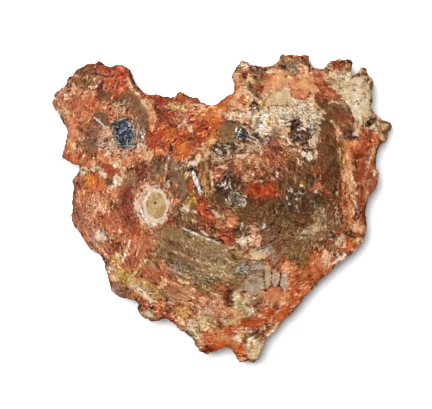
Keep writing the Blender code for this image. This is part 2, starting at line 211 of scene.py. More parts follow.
class Canvas:
    """Colour for every point of the stone, laid on like paint, in sheet millimetres."""

    def __init__(self, x, y, ground):
        self.x, self.y = x, y
        self.colour = np.tile(PAINTS[ground], (len(x), 1))
        self.wx, self.wy = x, y  # where each point counts as lying for the edges of marks
        for k, (far, size) in enumerate(EDGE_SWAY):
            self.wx = self.wx + far * fractal(x, y, size, EDGE_SEED + k)
            self.wy = self.wy + far * fractal(x, y, size, EDGE_SEED + 2 + k)
        self.layer = FIRST_LAYER
        tracks = trace_grain(x, y)
        self.fibres = [[self.fibre(tracks, size, FIBRE_SEED + 10 * i + j) for j in range(FIBRE_KINDS)]
                       for i, size in enumerate(FIBRE_SIZES)]
        self.edge = self.mixture(EDGE_FIBRES)
        self.calm = np.zeros(len(x))

    @staticmethod
    def fibre(tracks, size, seed):
        """Noise drawn out along the grain, with mean 0 and spread 1, and broken by plain noise."""
        reach = min(FLOW_REACH, int(round(FIBRE_LENGTH * size / FLOW_STEP)))
        total = sum(noise2(tracks[k][0] / size, tracks[k][1] / size, seed) * (1 - abs(k) / (reach + 1))
                    for k in range(-reach, reach + 1))
        x, y = tracks[0]
        crumbs = noise2(x / size + CRUMB_SHIFT, y / size, seed + CRUMB_SEED)
        return FIBRE_STRANDS * total / total.std() + FIBRE_CRUMBS * crumbs / crumbs.std()

    def mixture(self, parts):
        """Several fibre patterns added up."""
        return sum(share * self.fibres[width][kind] for share, width, kind in parts)

    def near(self, centre, reach):
        """The points of a square round a centre."""
        close = (np.abs(self.x - centre[0]) < reach) & (np.abs(self.y - centre[1]) < reach)
        return np.nonzero(close)[0]

    def swayed(self, where, warp):
        """The places of the points where, moved by a share of the wandering of the edges."""
        x = self.x[where] + warp * (self.wx[where] - self.x[where])
        y = self.y[where] + warp * (self.wy[where] - self.y[where])
        return x, y

    def weave(self, where, size):
        """A fibre pattern of about the given width, another one for every mark."""
        self.layer += 1
        total, weight = 0.0, 0.0
        for i, width in enumerate(FIBRE_SIZES):
            w = np.exp(-(np.log(width / size / WEAVE_BIAS) ** 2) / WEAVE_BAND)
            w += WEAVE_FINER if width < size else 0.0
            kind = (self.layer * (i + 1) + self.layer // 4) % FIBRE_KINDS
            sign = 1 if (self.layer // (i + 2)) % 2 else -1
            total = total + sign * w * self.fibres[i][kind][where]
            weight += w * w
        return total / np.sqrt(weight)

    def mix(self, where, amount, first, second=None, size=3.2, share=0.5):
        """Lays first, broken by second where a fibre pattern is high, over the points where."""
        if len(where) == 0:
            return
        paint = PAINTS[first][None, :]
        if second:
            t = self.weave(where, size)
            level = PATTERN_SPREAD * (0.5 - share)
            m = smooth(level - PAINT_EDGE, level + PAINT_EDGE, t)[:, None]
            paint = paint * (1 - m) + PAINTS[second] * m
        a = np.clip(amount, 0, 1)[:, None]
        self.colour[where] = self.colour[where] * (1 - a) + paint * a

    def settle(self, where, amount, calm):
        """Notes how even the paint over the points where is: 1 keeps later grain off it."""
        self.calm[where] = self.calm[where] * (1 - amount) + calm * amount

    def oval(self, where, centre, radii, turn, warp):
        """Distance from an oval's centre for the points where: 1 on its edge."""
        x, y = self.swayed(where, warp)
        u, v = turned(x - centre[0], y - centre[1], turn)
        return np.hypot(u / radii[0], v / radii[1])

    def blob(self, centre, radii, turn, first, second=None, soft=0.4, strength=1.0, warp=1.0, rag=0.25,
             calm=0.0, **grain):
        """An oval patch with a ragged edge; turn is in degrees, clockwise on the sheet."""
        where = self.near(centre, max(radii) * (1 + soft) + MARGIN)
        warp *= min(1.0, LEAST_SWAY + min(radii) / SMALL_MARK)
        d = self.oval(where, centre, radii, turn, warp) + rag * self.edge[where]
        amount = strength * smooth(1 + soft / 2, 1 - soft / 2, d)
        self.settle(where, amount, calm)
        self.mix(where, amount, first, second, **grain)

    def line_distance(self, points, where, warp):
        """Distance to a polyline and the share of the way along it, for the points where."""
        px, py = self.swayed(where, warp)
        best = np.full(len(px), np.inf)
        along = np.zeros(len(px))
        lengths = [np.hypot(b[0] - a[0], b[1] - a[1]) for a, b in zip(points, points[1:])]
        total, done = sum(lengths), 0.0
        for a, b, length in zip(points, points[1:], lengths):
            t = ((px - a[0]) * (b[0] - a[0]) + (py - a[1]) * (b[1] - a[1])) / length**2
            t = np.clip(t, 0, 1)
            d = np.hypot(px - a[0] - t * (b[0] - a[0]), py - a[1] - t * (b[1] - a[1]))
            closer = d < best
            best = np.where(closer, d, best)
            along = np.where(closer, (done + t * length) / total, along)
            done += length
        return best, along

    def stroke(self, points, width, first, second=None, soft=0.5, strength=1.0, warp=0.35, taper=0.5,
               broken=0.0, rag=0.25, calm=0.0, **grain):
        """A line of paint through points; taper thins its ends, and broken leaves gaps in it."""
        xs, ys = zip(*points)
        middle = ((min(xs) + max(xs)) / 2, (min(ys) + max(ys)) / 2)
        reach = max(max(xs) - min(xs), max(ys) - min(ys)) / 2 + width + SWAY_REACH * warp + 1
        where = self.near(middle, reach)
        d, along = self.line_distance(points, where, warp)
        half = width / 2 * (1 - taper * np.abs(2 * along - 1) ** 3)
        amount = smooth(1 + soft, 1 - soft, d / half + rag * self.edge[where])
        if broken:
            self.layer += LAYER_STEP
            gaps = 0.5 + GAP_DEPTH * fractal(self.x[where], self.y[where], GAP_SIZE, self.layer)
            amount = amount * smooth(broken - GAP_EDGE, broken + GAP_EDGE, gaps)
        self.settle(where, amount, calm)
        self.mix(where, strength * amount, first, second, **grain)

    def specks(self, centre, radii, turn, paint, size, share, strength):
        """Round grains of one paint, scattered over an oval."""
        where = self.near(centre, max(radii) + MARGIN)
        d = self.oval(where, centre, radii, turn, 1.0)
        self.layer += LAYER_STEP
        t = SPECK_SPREAD * fractal(self.x[where], self.y[where], size, self.layer, 2, 0.5)
        level = PATTERN_SPREAD * (0.5 - share)
        amount = strength * smooth(*SPECK_FADE, d) * smooth(level, level + SPECK_EDGE, t)
        self.mix(where, amount, paint)

    def finish_grain(self, contrast):
        """Breaks the whole face into light and dark strands, less where it is calm."""
        live = 1.0 - self.calm
        everywhere = np.arange(len(self.x))
        tone = live * contrast * self.mixture(TONE_FIBRES)
        self.colour *= np.exp(np.clip(tone, *TONE_LIMITS))[:, None]
        warmth = live * WARMTH * self.mixture(WARM_FIBRES)
        self.colour *= np.stack([1 + warmth, np.ones(len(warmth)), 1 - warmth], axis=1)
        light_edge, dark_edge = STRAND_EDGES
        light = smooth(*light_edge, self.mixture(LIGHT_FIBRES))
        self.mix(everywhere, LIGHT_STRANDS * live * light, "peach", "blush")
        dark = smooth(*dark_edge, self.mixture(DARK_FIBRES))
        self.mix(everywhere, DARK_STRANDS * live * dark, "maroon", "dark")


# ---------------------------------------------------------------- the paints and the marks
# The stone's colours as they look under the studio lights, in sRGB.
PAINTS = {
    "ivory": (244, 226, 200), "cream": (231, 203, 160), "white": (240, 234, 228), "sand": (212, 178, 130),
    "tan": (188, 143, 92), "khaki": (149, 119, 78), "taupe": (145, 114, 80), "grey": (138, 120, 97),
    "umber": (122, 83, 45), "brown": (110, 61, 20), "chocolate": (90, 52, 17), "olive": (86, 59, 20),
    "moss": (138, 104, 32), "dark": (50, 29, 9), "black": (22, 13, 4), "gold": (212, 160, 70),
    "amber": (224, 136, 54), "orange": (218, 106, 34), "flame": (190, 72, 12), "red": (156, 45, 6),
    "brick": (140, 63, 20), "maroon": (86, 35, 10), "crimson": (154, 62, 32), "mauve": (126, 80, 57),
    "salmon": (206, 119, 73), "coral": (198, 93, 40), "peach": (234, 168, 114), "pink": (224, 150, 112),
    "rose": (182, 102, 68), "blush": (238, 196, 158), "blue": (50, 64, 92), "ice": (164, 156, 140),
    "shell": (234, 202, 182), "plum": (150, 96, 78), "wine": (158, 68, 52), "ash": (186, 160, 132),
}
GAMMA = 2.2
LIT = 2.24  # how much brighter than its own colour a surface looks under the lights
PAINTS = {name: (np.array(shade) / 255) ** GAMMA / LIT for name, shade in PAINTS.items()}

SMOOTH = {"calm": 0.8, "size": 6}  # a patch of one even tone
EVEN = {"calm": 0.5, "size": 4}
PLATE = {"calm": 0.85, "size": 6, "warp": 0.3, "rag": 0.15, "soft": 0.25}  # smooth, with a clean edge
CRISP = {"warp": 0.15, "rag": 0.12, "soft": 0.3}  # a mark with a clean edge
FAINT = {"strength": 0.6}

# A mark is its paints, the second breaking up the first, and then an oval's middle, radii and turn,
# or a line's width and points. Options of its own may follow.
GROUND = [
    ("coral/brick", 222, 200, 190, 175, {"size": 5}), ("salmon/brick", 95, 110, 52, 55, {"size": 4}),
    ("flame/red", 178, 122, 44, 36), ("peach/cream", 300, 105, 70, 42, 5, {"size": 4}),
    ("brown/umber", 258, 205, 86, 56, 5, {"size": 5}), ("brick/brown", 245, 168, 58, 24, 5),
    ("chocolate/olive", 286, 214, 46, 36, 5, {"calm": 0.6, "size": 6}),
    ("umber/khaki", 200, 262, 66, 30, 20, EVEN), ("rose/coral", 110, 225, 34, 52, {"size": 4}),
    ("salmon/brick", 145, 290, 34, 30), ("coral/sand", 235, 325, 50, 34), ("coral/brick", 362, 205, 18, 62),
    ("cream/sand", 350, 92, 28, 30, 30, {"size": 4, "share": 0.35}), ("sand/cream", 374, 122, 22, 10, 20),
    ("umber/chocolate", 292, 196, 22, 34, 20, {"calm": 0.7, "size": 6}),
]

LEFT_LOBE = [
    ("brick/umber", 84, 72, 17, 7, -25), ("mauve/umber", 94, 65, 5, 2.5, -10),
    ("flame/brown", 88, 67, 5, 3, -20), ("dark/umber", 101, 64.5, 7, 2.6, 25),
    ("flame/red", 112, 70, 14, 4, 3), ("peach", 121, 67.5, 2.6, 1.5, 10), ("umber/moss", 88, 81, 9, 5, -10),
    ("blush/pink", 69, 82, 2, 5, 20, FAINT), ("sand/cream", 74, 87, 3.5, 2.5, 60),
    ("maroon/mauve", 90, 86, 5, 2.2, -35), ("dark", 1.3, (67, 89), (70, 87), (74, 86)),
    ("red/maroon", 103, 86, 6, 4, -20), ("flame/coral", 123.5, 85, 5.5, 4.2, EVEN),
    ("crimson/flame", 116, 95, 6, 4.5, 20), ("rose/tan", 63, 95, 8, 5, -20, FAINT),
    ("cream/blush", 61, 109, 6, 8, -10, FAINT), ("salmon/peach", 86, 95, 8, 5, -5),
    ("tan/umber", 76.5, 94, 3.5, 3.8, EVEN), ("crimson/rose", 76, 105, 6, 6.5, 20),
    ("gold/moss", 69.5, 113, 2.8, 3.6, 10), ("blush", 66, 113, 1.5, 1.2), ("coral/salmon", 90, 103, 9, 7),
    ("flame/salmon", 97, 107.5, 7, 3.5), ("amber/salmon", 85, 115, 5, 6),
    ("umber/brown", 104, 96, 8.6, 7, -10, PLATE), ("salmon/peach", 76, 118, 7, 4),
    ("salmon/pink", 74, 130, 5, 8, 5, EVEN), ("umber/brown", 78.5, 130, 3.4, 4.4, 10),
    ("coral/rose", 75, 136, 4.5, 2.4), ("amber/tan", 70, 141, 3.5, 4),
    ("peach/blush", 74.5, 146, 3.5, 3.5, EVEN), ("umber/mauve", 101, 119, 9, 7.5, 30, PLATE),
    ("mauve/umber", 92, 139, 9, 14, 6, EVEN), ("khaki/umber", 86, 142, 4.5, 10, 8),
    ("umber/khaki", 98.5, 146, 3, 10, 4), ("sand", 0.9, (83, 134), (82, 142), (84, 150)),
    ("coral/rose", 70, 156, 8, 6, 20, EVEN), ("orange", 72.5, 161, 2.6, 1.8),
    ("peach", 1.2, (65, 154), (68, 151.5), (72, 151)), ("umber/dark", 80, 156, 2.4, 3.6, 20),
    ("sand", 1.2, (82, 158.5), (84.5, 155), (86, 152)), ("rose/coral", 85, 164, 6, 4, EVEN),
    ("peach/sand", 93, 164, 1.8, 4), ("crimson/mauve", 101, 164, 5, 5),
]

POCKET_RIM = [
    ("umber/dark", 117, 103, 8, 3.5), ("tan/salmon", 119, 110, 4.5, 3.5),
    ("umber/taupe", 13, (124, 94), (132, 99), (138.5, 109), (143, 121),
     (143.5, 138), PLATE | {"taper": 0.4}),
    ("black/dark", 134, 144, 4, 5, 20), ("black/dark", 113, 127, 3, 5),
    ("dark/olive", 3.4, (121, 100.5), (126, 105), (127.5, 110), (126, 114)),
    ("dark", 121.5, 110.5, 1.3, 1.3), ("maroon", 117, 107.5, 1.2, 1.2), ("maroon", 119, 113, 1.4, 1),
    ("dark/olive", 123, 137, 12.5, 15), ("olive/khaki", 135.5, 130, 4, 13, -6),
    ("pink/blush", 106, 133, 7, 4.5, -25), ("coral/salmon", 117, 158, 20, 9, 10),
    ("peach/sand", 146, 158, 9, 12, 30), ("brick/coral", 126, 154, 12, 4, 10),
    ("ivory/khaki", 114.5, 144, 4.5, 3.5, 35), ("dark", 117, 142.5, 2.2, 1.8),
    ("brick", 1.1, (104, 144), (108, 142)), ("brick", 1.3, (104, 148.5), (109, 150)),
    ("brick", 1.2, (111, 151), (114, 154), (119, 155)), ("maroon", 1.3, (122, 154), (127, 153), (131, 156)),
    ("maroon", 1.2, (116, 151), (121, 150), (126, 151)),
]

# Pale needles round the pocket, each from its foot to its tip.
NEEDLES = [
    ((112, 119), (115, 116), (121, 114.8), (127, 115.2), (133, 117.5), (138, 121.5)),
    ((117, 121), (122, 119), (129, 117.5)), ((103, 131), (108, 128.5), (113, 127.5)),
    ((101, 136), (107, 134), (113, 134)), ((100, 140), (105, 138), (110, 136.5)),
    ((110, 137), (114, 141), (118, 146)), ((109, 140), (112, 145), (113, 149)), ((104, 139), (103, 143)),
    ((102, 150), (107, 147), (112, 148), (118, 147)), ((131, 122), (134, 127), (134, 133)),
    ((136, 120), (139, 126), (140, 133)), ((134, 131), (137, 134), (137, 139)),
    ((133, 138), (132, 143), (130, 147)), ((128, 138), (127, 143), (128, 147)),
    ((124, 149), (130, 149), (136, 146)), ((137, 139), (142, 141), (147, 138)),
    ((135, 146), (141, 146), (146, 143)), ((133, 151), (139, 152), (144, 149)),
    ((104, 153), (110, 152), (114, 156)), ((119, 152), (124, 156), (130, 158)),
    ((139, 128), (137, 132), (138, 137)), ((112, 122), (110, 126), (106, 127)),
    ((120, 140), (118, 136), (114, 134)),
]

TOP_MIDDLE = [
    ("coral/crimson", 142, 96, 8, 4.5, 30), ("peach/blush", 3, (127, 78), (130, 84), (135, 92), (140, 97)),
    ("dark/umber", 2.4, (129, 70), (131.5, 78), (137, 86), (146, 93)), ("red/brick", 160, 101, 12, 6),
    ("peach/sand", 147, 104, 9, 4), ("maroon/flame", 169, 118, 11, 10),
    ("peach/sand", 8.5, (141, 107.5), (149, 111), (153.5, 118),
     (152, 129), {"taper": 0.3, "calm": 0.6, "warp": 0.6}),
    ("flame/red", 160, 137, 15, 8, -48, EVEN), ("crimson/flame", 175, 128.5, 6, 3.5, 20),
    ("orange/peach", 160, 153, 8, 4), ("coral/flame", 184, 134, 8, 4.5, -10),
    ("flame/orange", 183, 153, 5, 7, 20, EVEN), ("orange/flame", 175, 149, 5.5, 11, -4),
    ("coral/flame", 184, 99, 6.5, 4.5, 20), ("crimson", 180, 101, 2.2, 3),
    ("khaki/umber", 194, 99.5, 5.5, 3.2, 10), ("salmon/pink", 189, 106, 5, 5),
    ("blush/ivory", 202, 106.5, 9, 3, 5, EVEN), ("taupe/umber", 2.2, (196, 103), (204, 102.5), (213, 105)),
    ("orange/amber", 203, 114, 14, 5), ("flame/coral", 211, 129, 10, 10, {"size": 4}),
    ("cream/khaki", 198.5, 158.5, 3.4, 5, 35), ("amber/cream", 206, 146, 6, 3, -30),
    ("moss", 190, 124.5, 1.2, 1.2),
]

RIGHT_LOBE = [
    ("pink/salmon", 272, 84, 13, 11, PLATE), ("pink/salmon", 287, 79, 11, 7, 5, PLATE),
    ("peach/blush", 241, 91, 8, 7, EVEN), ("amber/salmon", 236, 84, 2.6, 7),
    ("pink/blush", 233, 99, 8, 4, -15, SMOOTH),
    ("orange/coral", 9, (214, 108), (222, 103), (230, 96), (235, 88), PLATE),
    ("amber/orange", 217, 113, 6, 9, 10, EVEN), ("salmon/coral", 242, 100, 4, 5),
    ("cream/ivory", 244.5, 65, 4.5, 4, 30, EVEN), ("brown/orange", 237, 67, 2.6, 4, 20),
    ("moss/umber", 239.5, 70, 2, 2.4), ("dark", 1.4, (240, 77), (238, 80.5)),
    ("blush", 236, 76.5, 3, 3.2, CRISP), ("pink", 236, 76.5, 1.4, 1.5, CRISP),
    ("sand/cream", 2.2, (249, 72), (248, 76), (247, 79)), ("umber/dark", 259, 71, 9, 4.5),
    ("maroon/mauve", 254.5, 75.5, 3, 2.8), ("brown/umber", 263, 76, 4.5, 4),
    ("moss/umber", 257, 82, 4.5, 4, 30, EVEN), ("brown/sand", 247, 84, 6, 4, 30),
    ("mauve/pink", 261, 94, 5, 4, 20, SMOOTH),
    ("umber/chocolate", 5, (250, 84), (255, 92), (261, 99), {"calm": 0.6}),
    ("red/maroon", 260, 88, 4.2, 3.4, -10), ("peach/cream", 273, 70, 5, 2.6, -10),
    ("orange/salmon", 273, 77, 7, 3.5, -15, SMOOTH), ("amber/brown", 284, 60, 6, 4.5, -30),
    ("brown/orange", 293, 56.5, 8, 3, 5), ("dark/khaki", 283, 66, 4, 4.5),
    ("taupe/ice", 293.5, 66, 7.5, 7, 10, {"calm": 0.3, "size": 2, "warp": 0.4}),
    ("mauve/umber", 296, 73, 4, 2.6, -20), ("umber/taupe", 305, 58, 5, 3, 10), ("dark", 302, 58, 2, 1.2),
    ("brown/brick", 307, 66, 4, 6, -30), ("blush/cream", 1.4, (303, 64), (306, 68), (309, 73)),
    ("gold/sand", 269, 90, 3, 5, 30, FAINT), ("gold/cream", 3, (272, 88), (268, 99), (263, 110)),
    ("gold/moss", 262, 106, 3, 5.5, 15), ("gold/cream", 247.5, 99, 2.4, 5, -12),
    ("moss/umber", 1, (250.5, 97), (252, 104)), ("cream/khaki", 281, 97.5, 10, 8, PLATE),
    ("salmon/pink", 300, 89, 12.5, 10.5, 10, PLATE), ("ivory/sand", 300, 104, 14, 4, 5, EVEN),
    ("cream/ivory", 288, 113, 28, 6, 3), ("khaki/sand", 288, 110, 6, 3, FAINT),
    # The chocolate and dark oval at (254.5, 106.5) lies in a small pit: partly its own dark colour, partly
    # painted shade of the pit.
    ("brown/peach", 236, 108, 9, 3.4, 12), ("chocolate/dark", 254.5, 106.5, 4.5, 5.5),
    ("cream/blush", 238, 115, 18, 4, 3), ("ivory", 247, 113.5, 5, 2.6),
    ("salmon/blush", 245, 122, 7, 3.4, 20, EVEN), ("ivory/cream", 261, 124, 6.5, 6, 10, EVEN),
    ("ivory/sand", 285, 122, 9, 6, 60), ("blush/taupe", 276, 131, 6.5, 6, -30, EVEN),
    ("ivory/sand", 262, 133, 2.6, 5), ("chocolate/maroon", 254, 134.5, 4, 4.6, EVEN),
    ("umber/dark", 268, 137, 4, 4), ("moss", 309, 109, 2.6, 1.8), ("umber", 268.5, 107.5, 1.4, 1.4),
]

EYE = [
    ("umber/taupe", 232, 133, 13.5, 11.5, 5, {"calm": 0.85, "size": 6, "warp": 0.3, "soft": 0.2, "rag": 0.1}),
    ("mauve/taupe", 227, 124, 8, 3, -12, {"calm": 0.8, "strength": 0.6}),
    ("tan/umber", 222, 137, 5, 5, {"calm": 0.8, "strength": 0.5}),
    ("dark", 1.5, (218, 124), (224, 121.5), (231, 120.5), (239, 121.5), (246, 126), (254, 130)),
    ("moss/umber", 229, 135, 5, 5, {"size": 1.8, "strength": 0.6}),
    ("dark/black", 242, 135, 7.5, 5.6, 10, CRISP),
    # The white streaks over the upper hollow are its white crystals, with painted glints on them.
    ("white/ice", 1.8, (236.5, 128), (236, 133), (237, 138), CRISP),
    ("white", 1.8, (240.5, 129), (241.5, 134), CRISP), ("sand", 1.2, (242, 126), (247, 130), (250, 136)),
    ("white/blush", 2.2, (239.5, 139), (244, 137.6), (249, 139.5), CRISP),
]

RIM_RIGHT = [
    ("tan/umber", 343, 61, 11, 3, 4), ("red/brick", 338, 66, 7.5, 4, 10), ("tan/brown", 348, 67, 4.5, 7),
    ("dark", 327.5, 70, 1.2, 1.6), ("khaki/dark", 326, 73, 2.4, 3.6),
    ("cream/sand", 339, 86, 8, 14, -28, {"share": 0.3, "warp": 0.4}),
    ("moss/cream", 333, 81, 4, 4, 30, FAINT),
    ("crimson/salmon", 15, (315, 74), (321, 84), (328, 93), (336, 100), EVEN | {"taper": 0.3}),
    ("brick/crimson", 321, 98, 6, 7, EVEN),
    ("umber/brown", 17, (325, 105), (335, 111), (345, 117), PLATE | {"taper": 0.3}),
    ("khaki/umber", 335, 107, 6, 3, PLATE), ("blush/cream", 1.5, (329, 103.5), (335, 101.8), (342, 103)),
    ("brown/umber", 326, 119, 6, 6, PLATE),
    ("brick/brown", 6, (347, 105), (351, 114), (355, 124), {"calm": 0.4}),
    ("mauve/brown", 13, (339, 118), (346, 127), (351, 136), PLATE | {"taper": 0.3}),
    ("tan/blush", 344, 123, 5, 4, FAINT), ("cream/sand", 359, 96, 12, 23, -12, PLATE | {"share": 0.3}),
    ("cream/ivory", 358, 104, 8, 12, -20, EVEN), ("ivory/sand", 361, 108, 10, 9, -30, EVEN),
    ("khaki", 362, 87, 2.6, 2.4), ("brown", 363.5, 93.5, 2.8, 0.9), ("sand/khaki", 366, 83, 2.4, 5, FAINT),
    ("tan/brown", 365, 71, 4.5, 3.5, 10),
    # The small dark oval at (367, 81) lies in a pit: partly its own dark colour, partly painted shade of the
    # pit.
    ("brown/umber", 3.4, (350.5, 80), (355, 76), (361, 73.5), (368, 74)), ("dark", 367, 81, 1.8, 2.4),
    ("umber/dark", 371.5, 85.5, 1.8, 5), ("khaki/dark", 370.5, 100, 2, 4.6),
    ("sand/cream", 371, 115, 8, 4, 35), ("brown", 1, (363, 116), (366, 114.5)),
    ("dark", 1.1, (366, 119), (372, 114)), ("dark", 1.1, (369, 120), (375, 114.5)),
    ("maroon/dark", 371, 122.5, 7.5, 3.2, -35, CRISP),
    ("cream/ivory", 3, (369, 131), (375, 126), (382, 120)), ("sand/tan", 384, 127, 8, 5.5, 20),
    ("peach/tan", 390, 126, 2.6, 3), ("sand/cream", 384.5, 138, 4.5, 4, EVEN),
    ("cream/sand", 359, 124, 3.6, 5), ("cream/blush", 356, 133, 4.4, 3.8, 10, EVEN),
    ("crimson/coral", 370, 135, 8, 4.5, -10), ("brick", 363, 131, 3, 2.4, 30),
    ("maroon/mauve", 347.5, 133, 5, 5.5, EVEN), ("dark", 355.5, 138, 3, 1.8, 20),
    ("salmon/peach", 352, 145, 9, 5, SMOOTH), ("coral/flame", 365, 146, 7, 3, -30),
    ("crimson/maroon", 360, 154, 9, 4.6, -20), ("tan/peach", 374, 152, 4, 9),
]

BELOW_LOBE = [
    ("chocolate/dark", 225, 150, 18, 6), ("dark/umber", 230, 149, 8, 4, FAINT),
    ("tan/umber", 246, 147, 6, 4.5, 15), ("sand/gold", 212, 140, 4, 3.4), ("coral/tan", 245, 161, 17, 8, 5),
    ("rose/maroon", 273, 150, 11, 13), ("blush", 243, 156.5, 2.4, 2), ("black", 279, 154, 3, 2),
    ("dark", 1.3, (280, 117.5), (283, 119.5), (287, 119)), ("dark", 1.3, (288, 122), (284, 125)),
    # The chocolate and maroon oval at (296.5, 124) lies in the hollow there: partly its own dark colour,
    # partly painted shade of the hollow.
    ("chocolate/maroon", 296.5, 124, 6.5, 8, 8, CRISP), ("olive/khaki", 314, 124, 6, 5, 10),
    ("ivory", 1.5, (319, 119), (323, 118), (325.5, 120.5), (323, 122)),
    ("umber/maroon", 301, 137, 11, 9, EVEN), ("umber/blush", 294, 148, 5, 3, -25),
    ("maroon/brown", 305.5, 145, 4.6, 3.4), ("olive/dark", 307, 150, 5, 2.6),
    ("blush/pink", 313, 138, 2.4, 8, 4), ("ivory/blush", 304, 154.5, 2.4, 2.8, CRISP),
    ("ivory/blush", 309.7, 156.5, 3.2, 4.6, CRISP), ("blush", 315, 155, 1.8, 4),
    ("ivory/blush", 2, (297, 159), (299, 164.5), (303, 162)), ("black/olive", 304.5, 161, 2.4, 3.4),
    ("olive/dark", 313.5, 164, 3.2, 4), ("olive/moss", 290, 161, 6, 4), ("umber/mauve", 298, 171, 15, 7),
    ("brown/brick", 294, 168, 5, 4, 20), ("black/olive", 309.5, 183, 4, 8.5),
    ("moss/olive", 305, 184, 3, 6), ("sand", 1.2, (295.5, 176), (295.5, 183.5)),
    ("tan", 1.1, (287, 176), (288, 184)), ("rose", 1.2, (281, 163), (283, 170)),
]

TONGUE = [
    ("chocolate/brown", 23, (327, 128), (329, 150), (331, 176), (329, 192), PLATE | {"taper": 0.3}),
    ("brown/brick", 3, (318, 140), (318, 150), (319, 160), FAINT),
    ("maroon/chocolate", 336, 165, 6, 15, {"calm": 0.8, "strength": 0.7}),
    ("moss/umber", 341.5, 155, 2.6, 15), ("cream/peach", 2.2, (336, 129.5), (337, 134), (338, 140)),
    ("khaki", 1.8, (343.5, 129), (342, 134), (341, 141)),
    ("rose/mauve", 2.2, (333, 131), (335, 139), (336, 148), FAINT),
    ("sand/khaki", 1.5, (339, 148), (340.5, 153), (340, 159)), ("dark/tan", 341, 170, 2.4, 3.6),
    ("dark/chocolate", 324, 180, 7, 6), ("salmon/amber", 347, 147, 4, 3.4, EVEN),
]

RIGHT_FLANK = [
    ("salmon/peach", 9, (349, 148), (347, 162), (348, 178), (351, 194), PLATE),
    ("blush", 1.8, (348, 158), (350, 168), (353, 180), (352, 190)), ("mauve/taupe", 356, 168.5, 3, 3.6, 20),
    ("brick/maroon", 3.6, (356, 170), (357, 180), (357.5, 190)), ("crimson/rose", 366, 178, 10, 20, PLATE),
    ("rose/crimson", 370, 176, 4, 9, FAINT), ("blush", 1.3, (377.5, 164), (378.5, 172), (377, 180)),
    ("ivory/cream", 375, 173, 2, 3, 10), ("grey/mauve", 375, 187.5, 2.4, 3),
    ("brown/umber", 332, 189, 8, 11), ("rose/salmon", 318, 187, 5.5, 5), ("crimson", 326, 193, 2.8, 3.2),
    ("dark/grey", 318, 199, 5, 7, -20), ("white", 316.5, 192, 1.5, 1.3), ("black", 353, 192.3, 1.9, 1.7),
    ("blush/pink", 357, 192.3, 2.1, 1.8), ("brick/crimson", 357, 206, 6, 10),
    ("salmon/coral", 349, 216, 6, 9.5), ("sand/peach", 366.5, 196, 3.4, 5),
    ("maroon/black", 356.5, 217, 2.4, 5.5), ("mauve/rose", 364.5, 217, 3, 8),
    ("peach/blush", 357, 227, 6, 5.4), ("sand/maroon", 343, 218, 4.5, 8, {"size": 1.6}),
    ("crimson", 355.5, 235.5, 3.2, 3.4), ("moss/sand", 359, 242, 4.5, 4.5, -10),
    ("cream/brown", 340, 240.5, 5.5, 5), ("peach", 337, 241, 1.6, 1.4),
    ("salmon/orange", 347.5, 246.5, 5.5, 6), ("flame/brick", 344, 253, 7, 4.4, -10),
    ("ivory/blush", 340, 259.5, 6, 3.4, -15), ("ivory", 1.3, (335, 266), (338.5, 263.5)),
    ("peach/blush", 325, 262, 5.5, 9), ("taupe/sand", 321.5, 217, 6, 10.5, EVEN),
    ("sand/taupe", 305, 234, 10.5, 6.5, {"share": 0.6}), ("mauve/umber", 333, 221, 7, 13.5),
    ("dark/olive", 319.5, 243.5, 5.5, 4), ("gold/olive", 318, 248, 2, 1.4), ("mauve/umber", 323, 235, 8, 5),
    ("umber/khaki", 330, 250.5, 10, 5.4), ("grey/dark", 334, 237, 3.4, 3.4),
    ("coral/blush", 372, 165, 3, 6, FAINT), ("blush", 1.4, (353, 178), (355, 184), (355, 189)),
]

